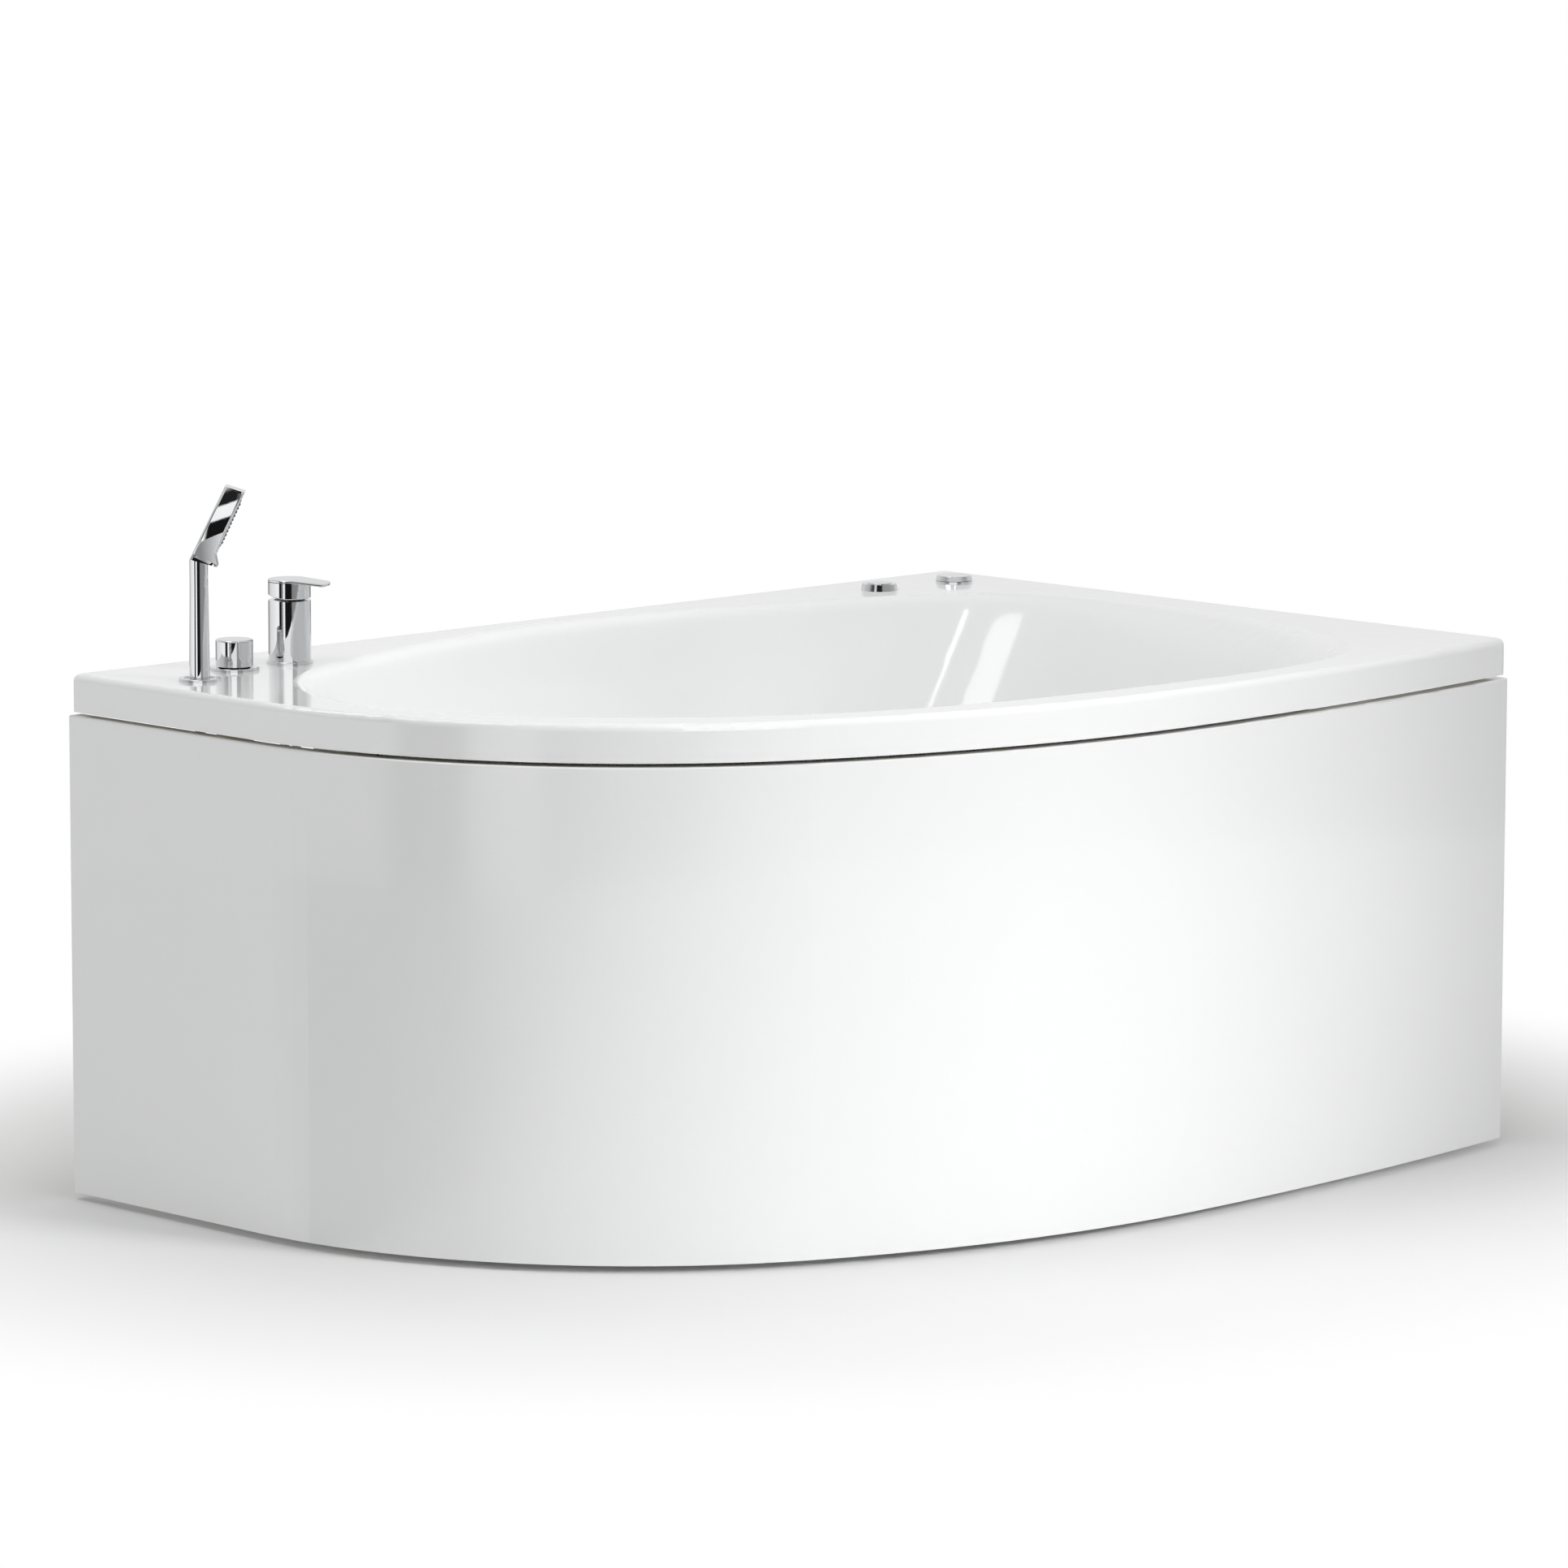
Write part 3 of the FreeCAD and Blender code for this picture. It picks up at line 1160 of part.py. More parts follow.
def mixer_shank():
    shank = ring(0, 0, -MIXER_SHANK_DROP, MIXER_RING_HEIGHT + SHANK_GRIP, SHANK_RADIUS, SHANK_BORE)
    end = rod(0, 0, -MIXER_SHANK_DROP, -MIXER_SHANK_DROP + MIXER_SHANK_END, SHANK_RADIUS)
    shank = join([shank, end])
    for side in (-1, 1):
        shank = shank.cut(rod(side * SUPPLY_SPLIT / 2, 0, -MIXER_SHANK_DROP - 1,
                              -MIXER_SHANK_DROP + MIXER_SHANK_END + 1, SUPPLY_HOSE_BORE))
    shank = shank.cut(bar_x(-SHANK_RADIUS - 1, 0, 0, -PORT_DROP, PIPE_BORE))
    return at_mixer(shank, 0)


def mixed_water_pipe():
    y = MIXER_AT[1]
    z = DECK_HEIGHT - PORT_DROP
    pipe = bar_x(DIVERTER_AT[0], MIXER_AT[0], y, z, PIPE_RADIUS)
    pipe = pipe.cut(bar_x(DIVERTER_AT[0], MIXER_AT[0], y, z, PIPE_BORE))
    low = z - PIPE_RADIUS - 1
    high = z + PIPE_RADIUS + 1
    pipe = pipe.cut(rod(DIVERTER_AT[0], y, low, high, VALVE_RADIUS))
    return pipe.cut(rod(MIXER_AT[0], y, low, high, SHANK_RADIUS))


def supply_line(side):
    """Corners of one supply hose's route, from the shank to its end nut."""
    x, y = MIXER_AT
    top = DECK_HEIGHT - MIXER_SHANK_DROP
    end = BACK - SUPPLY_BACK_GAP - SUPPLY_NUT_LENGTH
    points = [(x + side * SUPPLY_SPLIT / 2, y, top)]
    for out, toward_wall, height in SUPPLY_ROUTE:
        points.append((x + side * out, y + toward_wall, height))
    points.append((x + side * SUPPLY_SPREAD / 2, end, SUPPLY_LEVEL))
    return points


def supply_hoses():
    hoses = []
    for side in (-1, 1):
        path = bent_path(supply_line(side), SUPPLY_BEND)
        hoses.append(pipe_along(path, SUPPLY_HOSE_RADIUS, SUPPLY_HOSE_BORE))
    return Part.Compound(hoses)


def supply_nuts():
    nuts = []
    for side in (-1, 1):
        nut = hex_bar(0, 0, 0, SUPPLY_NUT_LENGTH, SUPPLY_NUT_ACROSS)
        nut = nut.cut(rod(0, 0, -1, SUPPLY_NUT_LENGTH + 1, SUPPLY_HOSE_BORE))
        nut = nut.cut(rod(0, 0, SUPPLY_NUT_LENGTH - SUPPLY_NUT_DEPTH, SUPPLY_NUT_LENGTH + 1,
                          SUPPLY_NUT_BORE))
        nut.rotate(Vector(0, 0, 0), Vector(1, 0, 0), -90)
        nut.translate(Vector(*supply_line(side)[-1]))
        nuts.append(nut)
    return Part.Compound(nuts)


# ======================================================= diverter and shower
def diverter_flange():
    x, y = DIVERTER_AT
    top = DECK_HEIGHT + FLANGE_HEIGHT
    flange = round_top(rod(x, y, DECK_HEIGHT, top, DIVERTER_FLANGE_RADIUS), top, LEVER_EDGE_ROUND)
    return flange.cut(rod(x, y, DECK_HEIGHT - 1, top + 1, SHANK_RADIUS + HOLE_CLEARANCE))


def diverter_valve():
    x, y = DIVERTER_AT
    top = DECK_HEIGHT + FLANGE_HEIGHT
    shoulder = DECK_HEIGHT - VALVE_TOP_DROP
    foot = DECK_HEIGHT - VALVE_FOOT_DROP
    side_port = DECK_HEIGHT - FILLER_PORT_DROP
    valve = join([rod(x, y, shoulder, top, SHANK_RADIUS), rod(x, y, foot, shoulder, VALVE_RADIUS)])
    spindle = rod(x, y, top - VALVE_SPINDLE_DEPTH, top + 1, VALVE_SPINDLE_RADIUS + RUNNING)
    valve = valve.cut(spindle)
    valve = valve.cut(rod(x, y, foot - 1, DECK_HEIGHT - PORT_DROP, SHOWER_HOSE_BORE))
    valve = valve.cut(bar_x(x, x + VALVE_RADIUS + 1, y, DECK_HEIGHT - PORT_DROP, PIPE_BORE))
    return valve.cut(bar_x(x - VALVE_RADIUS - 1, x, y, side_port, FILLER_HOSE_BORE))


def diverter_knob():
    x, y = DIVERTER_AT
    low = DECK_HEIGHT + FLANGE_HEIGHT + KNOB_GAP
    top = low + DIVERTER_KNOB_HEIGHT
    crown = top - 2 * KNOB_WALL
    knob = round_top(rod(x, y, low, top, DIVERTER_KNOB_RADIUS), top, KNOB_ROUND)
    knob = knob.cut(rod(x, y, low - 1, crown, DIVERTER_KNOB_RADIUS - KNOB_WALL))
    foot = DECK_HEIGHT + FLANGE_HEIGHT - VALVE_SPINDLE_DEPTH + KNOB_GAP
    return join([knob, rod(x, y, foot, crown + 1, VALVE_SPINDLE_RADIUS)])


def shower_holder():
    x, y = SHOWER_AT
    top = DECK_HEIGHT + FLANGE_HEIGHT
    bush = HANDLE_RADIUS + RUNNING + BUSH_WALL
    holder = round_top(rod(x, y, DECK_HEIGHT, top, SHOWER_FLANGE_RADIUS), top, LEVER_EDGE_ROUND)
    holder = join([holder, rod(x, y, DECK_HEIGHT - HOLDER_DROP, DECK_HEIGHT, SHANK_RADIUS)])
    holder = holder.cut(rod(x, y, DECK_HEIGHT - HOLDER_DROP - 1, top + 1, bush + RUNNING))
    return holder.cut(rod(x, y, top - BUSH_RIM_HEIGHT, top + 1, BUSH_RIM_RADIUS + SOFT_GAP))


def shower_bush():
    """A plastic liner that the handle stands in and turns with."""
    x, y = SHOWER_AT
    top = DECK_HEIGHT + FLANGE_HEIGHT
    bore = HANDLE_RADIUS + RUNNING
    bush = rod(x, y, DECK_HEIGHT - HOLDER_DROP, top, bore + BUSH_WALL)
    rim = rod(x, y, top - BUSH_RIM_HEIGHT, top, BUSH_RIM_RADIUS)
    return join([bush, rim]).cut(rod(x, y, DECK_HEIGHT - HOLDER_DROP - 1, top + 1, bore))


def at_shower(shape):
    return turned(shape, SHOWER_ANGLE, SHOWER_AT[0], SHOWER_AT[1], DECK_HEIGHT)


def shower_handle():
    handle = join([rod(0, 0, -HANDLE_FOOT_DROP, 0, HANDLE_RADIUS),
                   cone(0, 0, 0, HANDLE_JOINT, HANDLE_RADIUS, NECK_RADIUS)])
    return at_shower(handle.cut(rod(0, 0, -HANDLE_FOOT_DROP - 1, HANDLE_JOINT + 1, HANDLE_BORE)))


def nozzle_place(along, across):
    """A point on the head's underside and the direction that it faces."""
    far = Vector(HEAD_OUTLINE[2][0], 0, HEAD_OUTLINE[2][1])
    near = Vector(HEAD_OUTLINE[3][0], 0, HEAD_OUTLINE[3][1])
    up = (far - near).normalize()
    outward = Vector(up.z, 0, -up.x)
    return (near + far) * 0.5 + up * along + Vector(0, across, 0), outward


def shower_head():
    back_low = Vector(HEAD_OUTLINE[0][0], 0, HEAD_OUTLINE[0][1])
    back_high = Vector(HEAD_OUTLINE[1][0], 0, HEAD_OUTLINE[1][1])
    slope = (back_high.x - back_low.x) / (back_high.z - back_low.z)
    neck_top = HEAD_OUTLINE[3][1]
    left_at_top = back_low.x + slope * (neck_top - back_low.z)
    left_low = back_low.z - (NECK_RADIUS + 1 + back_low.x) / slope
    bar = side_profile(HEAD_OUTLINE, HEAD_WIDTH / 2)
    corners = [e for e in bar.Edges if abs(e.BoundBox.YLength) < 0.01]
    bar = bar.makeFillet(HEAD_ROUND, [e for e in corners if e.Length > 2 * HEAD_WIDTH])
    neck = rod(0, 0, HANDLE_JOINT, neck_top, NECK_RADIUS)
    neck = neck.common(side_profile([(-NECK_RADIUS - 1, HANDLE_JOINT), (NECK_RADIUS + 1, HANDLE_JOINT),
                                     (NECK_RADIUS + 1, neck_top), (left_at_top, neck_top),
                                     (-NECK_RADIUS - 1, left_low)], NECK_RADIUS + 1))
    head = join([bar, neck])
    head = head.cut(rod(0, 0, HANDLE_JOINT - 1, neck_top, HANDLE_BORE))
    return at_shower(head.cut(face_plate()))


def face_plate():
    """The nozzle plate, let into the head's underside and standing a little proud."""
    middle, outward = nozzle_place(0, 0)
    plate = box(-FACE_LENGTH / 2, -FACE_WIDTH / 2, -FACE_THICK, FACE_LENGTH / 2, FACE_WIDTH / 2,
                FACE_THICK / 2)
    plate.rotate(Vector(0, 0, 0), Vector(0, 1, 0), math.degrees(math.atan2(outward.x, outward.z)))
    plate.translate(middle)
    return plate


def shower_face():
    plate = face_plate()
    step = FACE_LENGTH / (NOZZLES_IN_ROW + 1)
    side = FACE_WIDTH / (NOZZLE_ROWS + 1)
    nozzles = []
    for place in range(NOZZLES_IN_ROW):
        for row in range(NOZZLE_ROWS):
            along = (place - (NOZZLES_IN_ROW - 1) / 2) * step
            point, outward = nozzle_place(along, (row - (NOZZLE_ROWS - 1) / 2) * side)
            nozzles.append(Part.makeCylinder(NOZZLE_RADIUS, NOZZLE_HEIGHT, point, outward))
    return at_shower(plate.multiFuse(nozzles))


def shower_hose():
    start = (SHOWER_AT[0], SHOWER_AT[1], DECK_HEIGHT - HANDLE_FOOT_DROP)
    end = (DIVERTER_AT[0], DIVERTER_AT[1], DECK_HEIGHT - VALVE_FOOT_DROP)
    path = bent_path(upright_route(start, SHOWER_HOSE_ROUTE, end), SHOWER_HOSE_BEND)
    return pipe_along(path, SHOWER_HOSE_RADIUS, SHOWER_HOSE_BORE)


def deck_nuts():
    top = UNDER_DECK - WASHER_HEIGHT
    nuts = [hex_nut(x, y, top - TAP_NUT_HEIGHT, top, TAP_NUT_ACROSS, SHANK_RADIUS + THREAD_CLEARANCE)
            for x, y in TAPS]
    for x, y in CONTROLS:
        nuts.append(hex_nut(x, y, top - TAP_NUT_HEIGHT, top, CONTROL_NUT_ACROSS,
                            CONTROL_SHANK_RADIUS + THREAD_CLEARANCE))
    return Part.Compound(nuts)


def deck_washers():
    low = UNDER_DECK - WASHER_HEIGHT
    washers = [ring(x, y, low, UNDER_DECK, WASHER_RADIUS, SHANK_RADIUS + HOLE_CLEARANCE)
               for x, y in TAPS]
    for x, y in CONTROLS:
        washers.append(ring(x, y, low, UNDER_DECK, WASHER_RADIUS,
                            CONTROL_SHANK_RADIUS + HOLE_CLEARANCE))
    return Part.Compound(washers)


# ============================================================== corner controls
def button_bezel():
    x, y = BUTTON_AT
    top = DECK_HEIGHT + CONTROL_HEIGHT
    foot = DECK_HEIGHT - CONTROL_SHANK_DROP
    guide = DECK_HEIGHT - BUTTON_GUIDE
    bezel = join([cone(x, y, DECK_HEIGHT, top, CONTROL_FOOT_RADIUS, CONTROL_TOP_RADIUS),
                  rod(x, y, foot, DECK_HEIGHT, CONTROL_SHANK_RADIUS)])
    recess = top + BUTTON_PROUD - BUTTON_HEAD - BUTTON_TRAVEL - SOFT_GAP
    bezel = bezel.cut(rod(x, y, recess, top + 1, BUTTON_RADIUS + RUNNING))
    bezel = bezel.cut(rod(x, y, guide, top, SPRING_WELL))
    return bezel.cut(rod(x, y, foot - 1, top, BUTTON_STEM_RADIUS + RUNNING))


def massage_button():
    x, y = BUTTON_AT
    top = DECK_HEIGHT + CONTROL_HEIGHT + BUTTON_PROUD
    head = round_top(rod(x, y, top - BUTTON_HEAD, top, BUTTON_RADIUS), top, BUTTON_ROUND)
    return join([head, rod(x, y, DECK_HEIGHT - BUTTON_STEM_FOOT, top - BUTTON_HEAD,
                           BUTTON_STEM_RADIUS)])


def button_spring():
    x, y = BUTTON_AT
    low = DECK_HEIGHT - BUTTON_GUIDE + SPRING_WIRE
    high = DECK_HEIGHT + CONTROL_HEIGHT + BUTTON_PROUD - BUTTON_HEAD - SPRING_WIRE
    helix = Part.makeHelix((high - low) / SPRING_TURNS, high - low, SPRING_RADIUS)
    helix.translate(Vector(x, y, low))
    first = helix.OrderedEdges[0]
    heading = first.tangentAt(first.FirstParameter)
    circle = Part.Circle(Vector(x + SPRING_RADIUS, y, low), heading, SPRING_WIRE).toShape()
    return Part.Wire(helix.Edges).makePipeShell([Part.Wire(circle)], True, True)


def regulator_base():
    x, y = REGULATOR_AT
    foot = DECK_HEIGHT - CONTROL_SHANK_DROP
    top = DECK_HEIGHT + REGULATOR_BASE_HEIGHT
    base = join([rod(x, y, DECK_HEIGHT, top, CONTROL_FOOT_RADIUS),
                 rod(x, y, foot, DECK_HEIGHT, CONTROL_SHANK_RADIUS)])
    base = base.cut(rod(x, y, foot - 1, top + 1, REGULATOR_STEM_RADIUS + RUNNING))
    return base.cut(rod(x, y, foot - 1, DECK_HEIGHT - REGULATOR_STEM_DROP - 1, REGULATOR_PORT))


def regulator_knob():
    x, y = REGULATOR_AT
    low = DECK_HEIGHT + REGULATOR_BASE_HEIGHT + REGULATOR_GAP
    top = DECK_HEIGHT + CONTROL_HEIGHT
    knob = round_top(cone(x, y, low, top, CONTROL_FOOT_RADIUS, CONTROL_TOP_RADIUS), top,
                     LEVER_EDGE_ROUND)
    return join([knob, rod(x, y, DECK_HEIGHT - REGULATOR_STEM_DROP, low, REGULATOR_STEM_RADIUS)])


def blower_outside():
    return rod(BLOWER_AT[0], BLOWER_AT[1], RAIL_TOP, RAIL_TOP + BLOWER_BASE_WALL + BLOWER_HEIGHT,
               BLOWER_RADIUS)


def control_hose(place, turns, level, bend, outer, bore):
    """A hose from a corner control down and along to the blower's housing."""
    start = (place[0], place[1], DECK_HEIGHT - CONTROL_SHANK_DROP)
    end = (BLOWER_AT[0], BLOWER_AT[1], level)
    path = bent_path(upright_route(start, turns, end), bend)
    return pipe_along(path, outer, bore).cut(blower_outside())


def pneumatic_tube():
    return control_hose(BUTTON_AT, BUTTON_TUBE_ROUTE, BUTTON_TUBE_LEVEL, BUTTON_TUBE_BEND,
                        AIR_TUBE_RADIUS, AIR_TUBE_BORE)


def regulator_hose():
    return control_hose(REGULATOR_AT, REGULATOR_HOSE_ROUTE, REGULATOR_HOSE_LEVEL,
                        REGULATOR_HOSE_BEND, AIR_HOSE_RADIUS, AIR_HOSE_BORE)


# ========================================================== overflow and waste
def tube_x(x0, x1, outer, inner):
    return bar_x(x0, x1, 0, 0, outer).cut(bar_x(x0, x1, 0, 0, inner))


def overflow_base():
    top = OVERFLOW_BASE_LIFT + OVERFLOW_BASE_THICK
    sleeve = OVERFLOW_SLEEVE_RADIUS
    foot = -SHELL_WALL - OVERFLOW_SEAL - OVERFLOW_SLEEVE_WALL * 3
    base = join([bar_x(OVERFLOW_BASE_LIFT, top, 0, 0, OVERFLOW_BASE_RADIUS),
                 bar_x(foot, top, 0, 0, sleeve)])
    base = base.cut(bar_x(foot - 1, top + 1, 0, 0, sleeve - OVERFLOW_SLEEVE_WALL))
    return on_wall(base)


def overflow_knob():
    low = OVERFLOW_KNOB_LIFT
    top = low + OVERFLOW_KNOB_HEIGHT
    knob = bar_x(low, top, 0, 0, OVERFLOW_KNOB_RADIUS)
    rims = [e for e in knob.Edges if len(e.Vertexes) == 1 and e.BoundBox.XMin > top - 0.1]
    knob = knob.makeFillet(OVERFLOW_KNOB_ROUND, rims)
    knob = knob.cut(bar_x(low - 1, top - OVERFLOW_KNOB_CROWN, 0, 0,
                          OVERFLOW_KNOB_RADIUS - OVERFLOW_KNOB_WALL))
    foot = -SHELL_WALL - OVERFLOW_SEAL - OVERFLOW_BODY_DEPTH + OVERFLOW_BODY_WALL + 1
    return on_wall(join([knob, bar_x(foot, top - OVERFLOW_KNOB_WALL, 0, 0,
                                     OVERFLOW_SPINDLE_RADIUS)]))


def overflow_middle():
    """Centre of the overflow's body behind the wall."""
    back = SHELL_WALL + OVERFLOW_SEAL + OVERFLOW_BODY_DEPTH / 2
    x, y, z, lean = overflow_place()
    return Vector(x - back * math.cos(rad(lean)), y, z - back * math.sin(rad(lean)))


def overflow_solid():
    front = -SHELL_WALL - OVERFLOW_SEAL
    return on_wall(bar_x(front - OVERFLOW_BODY_DEPTH, front, 0, 0, OVERFLOW_BODY_RADIUS))


def overflow_body():
    front = -SHELL_WALL - OVERFLOW_SEAL
    back = front - OVERFLOW_BODY_DEPTH
    middle = overflow_middle()
    low = middle.z - OVERFLOW_STUB_DROP
    stub = rod(middle.x, middle.y, low, middle.z, OVERFLOW_PIPE_RADIUS)
    inside = OVERFLOW_BODY_RADIUS - OVERFLOW_BODY_WALL
    body = join([overflow_solid(), stub])
    cavity = bar_x(back + OVERFLOW_BODY_WALL, front - OVERFLOW_BODY_WALL, 0, 0, inside)
    mouth = bar_x(front - OVERFLOW_BODY_WALL - 1, front + 1, 0, 0, OVERFLOW_SLEEVE_RADIUS)
    body = body.cut(on_wall(cavity)).cut(on_wall(mouth))
    body = body.cut(rod(middle.x, middle.y, low - 1, middle.z, OVERFLOW_PIPE_BORE))
    hub = tube_x(back + 1, back + 4 * OVERFLOW_BODY_WALL, 2 * OVERFLOW_SPINDLE_RADIUS,
                 OVERFLOW_SPINDLE_RADIUS + RUNNING)
    body = join([body, on_wall(hub)])
    spindle = bar_x(back + OVERFLOW_BODY_WALL / 2, front, 0, 0, OVERFLOW_SPINDLE_RADIUS + RUNNING)
    port = bar_y(middle.x, middle.y, middle.y + OVERFLOW_BODY_RADIUS + 1, middle.z,
                 FILLER_HOSE_BORE)
    return body.cut(on_wall(spindle)).cut(port)


def basin_gaskets():
    """Seals on both sides of the overflow's wall and under the waste."""
    shell = bath_body()
    seals = []
    for low, high in ((-SHELL_WALL / 2, OVERFLOW_BASE_LIFT),
                      (-SHELL_WALL - OVERFLOW_SEAL, -SHELL_WALL / 2)):
        blank = tube_x(low, high, OVERFLOW_BODY_RADIUS, OVERFLOW_HOLE_RADIUS)
        seals.append(on_wall(blank).cut(shell))
    x, y = WASTE_AT
    seals.append(ring(x, y, UNDER_BASIN - WASTE_SEAL, UNDER_BASIN, WASTE_BODY_RADIUS,
                      WASTE_SLEEVE_RADIUS + HOLE_CLEARANCE))
    return Part.Compound(seals)


def overflow_pipe():
    middle = overflow_middle()
    path = bent_path([(middle.x, middle.y, middle.z - OVERFLOW_STUB_DROP),
                      (middle.x, middle.y, OVERFLOW_PIPE_LEVEL),
                      (WASTE_AT[0], WASTE_AT[1], OVERFLOW_PIPE_LEVEL)], OVERFLOW_PIPE_BEND)
    pipe = pipe_along(path, OVERFLOW_PIPE_RADIUS, OVERFLOW_PIPE_BORE)
    return pipe.cut(waste_solid())


def filler_line():
    """Corners of the filler hose's route from the diverter to the overflow."""
    middle = overflow_middle()
    level = DECK_HEIGHT - FILLER_PORT_DROP
    points = [(DIVERTER_AT[0], DIVERTER_AT[1], level)]
    for from_left, from_wall in FILLER_ROUTE:
        points.append((LEFT + from_left, BACK - from_wall, level))
    points.append((middle.x, middle.y, middle.z))
    return points


def filler_hose():
    hose = pipe_along(bent_path(filler_line(), FILLER_BEND), FILLER_HOSE_RADIUS, FILLER_HOSE_BORE)
    hose = hose.cut(overflow_solid())
    x, y = DIVERTER_AT
    return hose.cut(rod(x, y, DECK_HEIGHT - VALVE_FOOT_DROP, DECK_HEIGHT, VALVE_RADIUS))


def waste_solid():
    x, y = WASTE_AT
    top = UNDER_BASIN - WASTE_SEAL
    return rod(x, y, top - WASTE_BODY_HEIGHT, top, WASTE_BODY_RADIUS)


def plug_cable():
    middle = overflow_middle()
    start = (middle.x, middle.y - CABLE_OFFSET, middle.z)
    end = (WASTE_AT[0], start[1], CABLE_LEVEL)
    path = bent_path(upright_route(start, CABLE_ROUTE, end), CABLE_BEND)
    first = path.OrderedEdges[0]
    circle = Part.Circle(Vector(*start), first.tangentAt(0), CABLE_RADIUS).toShape()
    cable = path.makePipeShell([Part.Wire(circle)], True, False)
    return cable.cut(overflow_solid()).cut(waste_solid())


def waste_flange():
    x, y = WASTE_AT
    top = BASIN_FLOOR + WASTE_FLANGE_LIP
    foot = BASIN_FLOOR - WASTE_SLEEVE_DROP
    flange = join([rod(x, y, BASIN_FLOOR, top, WASTE_FLANGE_RADIUS),
                   rod(x, y, foot, BASIN_FLOOR, WASTE_SLEEVE_RADIUS)])
    flange = round_top(flange, top, WASTE_FLANGE_ROUND).cut(rod(x, y, foot - 1, top + 1, WASTE_BORE))
    bridge = box(x - WASTE_BORE - 1, y - PLUG_GUIDE, foot, x + WASTE_BORE + 1, y + PLUG_GUIDE,
                 foot + PLUG_GUIDE)
    hub = rod(x, y, foot, foot + 2 * PLUG_GUIDE, 2 * PLUG_STEM_RADIUS)
    flange = join([flange, bridge, hub])
    return flange.cut(rod(x, y, foot - 1, top, PLUG_STEM_RADIUS + RUNNING))


def waste_plug():
    x, y = WASTE_AT
    top = BASIN_FLOOR + PLUG_PROUD
    plug = round_top(rod(x, y, top - PLUG_THICK, top, PLUG_RADIUS), top, PLUG_ROUND)
    foot = BASIN_FLOOR - WASTE_SLEEVE_DROP - PLUG_TRAVEL - PLUG_STEM_SPARE
    return join([plug, rod(x, y, foot, top - PLUG_THICK, PLUG_STEM_RADIUS)])


def waste_body():
    x, y = WASTE_AT
    top = UNDER_BASIN - WASTE_SEAL
    foot = top - WASTE_BODY_HEIGHT
    inside = WASTE_BODY_RADIUS - 2 * WASTE_BODY_WALL
    body = waste_solid().cut(rod(x, y, foot + WASTE_BODY_WALL, top + 1, inside))
    body = body.cut(rod(x, y, foot - 1, top, TRAP_DIP_RADIUS))
    return body.cut(bar_x(x - WASTE_BODY_RADIUS - 1, x, y, OVERFLOW_PIPE_LEVEL, OVERFLOW_PIPE_BORE))


def drain_trap():
    x, y = WASTE_AT
    top = UNDER_BASIN - WASTE_SEAL - WASTE_BODY_HEIGHT
    end = BACK - DRAIN_BACK_GAP
    trap = rod(x, y, TRAP_FOOT, TRAP_TOP, TRAP_RADIUS)
    outlet = bar_y(x, y, end, DRAIN_LEVEL, DRAIN_RADIUS)
    stop = end - DRAIN_SPIGOT
    collar = bar_y(x, stop - DRAIN_COLLAR_WIDTH, stop, DRAIN_LEVEL, DRAIN_COLLAR_RADIUS)
    trap = join([trap, outlet, collar, rod(x, y, TRAP_TOP, top, TRAP_NECK_RADIUS)])
    trap = trap.cut(rod(x, y, TRAP_FOOT + TRAP_WALL, TRAP_TOP - TRAP_WALL, TRAP_RADIUS - TRAP_WALL))
    trap = trap.cut(bar_y(x, y, end + 1, DRAIN_LEVEL, DRAIN_BORE))
    trap = join([trap, rod(x, y, TRAP_DIP, TRAP_TOP, TRAP_DIP_RADIUS)])
    return trap.cut(rod(x, y, TRAP_DIP - 1, top + 1, TRAP_DIP_RADIUS - TRAP_WALL))


# =================================================================== air system
def manifold_solid():
    runs = [bar_x(MANIFOLD_LEFT, MANIFOLD_RIGHT, y, MANIFOLD_LEVEL, MANIFOLD_RADIUS)
            for y in JET_ROWS]
    header = MANIFOLD_RIGHT - MANIFOLD_RADIUS
    runs.append(bar_y(header, JET_ROWS[0], JET_ROWS[1], MANIFOLD_LEVEL, MANIFOLD_RADIUS))
    return join(runs)


def blower_hose_line():
    """Corners of the hose from the manifold's header to the blower."""
    y = RAIL_MIDDLE
    start = MANIFOLD_RIGHT - MANIFOLD_RADIUS
    rise = MANIFOLD_RIGHT + BLOWER_HOSE_TURNS[0]
    reach = BLOWER_PLACE - BLOWER_RADIUS - BLOWER_HOSE_TURNS[1]
    return [(start, y, MANIFOLD_LEVEL), (rise, y, MANIFOLD_LEVEL), (reach, y, BLOWER_PORT_LEVEL),
            (BLOWER_PLACE, y, BLOWER_PORT_LEVEL)]


def air_manifold():
    hose = pipe_along(bent_path(blower_hose_line(), BLOWER_HOSE_BEND), BLOWER_HOSE_RADIUS,
                      BLOWER_HOSE_BORE)
    hose = hose.cut(blower_outside()).cut(manifold_solid())
    pipes = manifold_solid()
    for y in JET_ROWS:
        pipes = pipes.cut(bar_x(MANIFOLD_LEFT + MANIFOLD_END, MANIFOLD_RIGHT - MANIFOLD_END, y,
                                MANIFOLD_LEVEL, MANIFOLD_BORE))
    header = MANIFOLD_RIGHT - MANIFOLD_RADIUS
    pipes = pipes.cut(bar_y(header, JET_ROWS[0], JET_ROWS[1], MANIFOLD_LEVEL, MANIFOLD_BORE))
    pipes = pipes.cut(bar_x(header, MANIFOLD_RIGHT + 1, RAIL_MIDDLE, MANIFOLD_LEVEL, MANIFOLD_BORE))
    for x, y in jet_places():
        pipes = pipes.cut(rod(x, y, MANIFOLD_LEVEL, RAIL_TOP, JET_BORE))
    return Part.Compound([pipes, largest(hose)])


def largest(shape):
    return max(shape.Solids, key=lambda solid: solid.Volume)


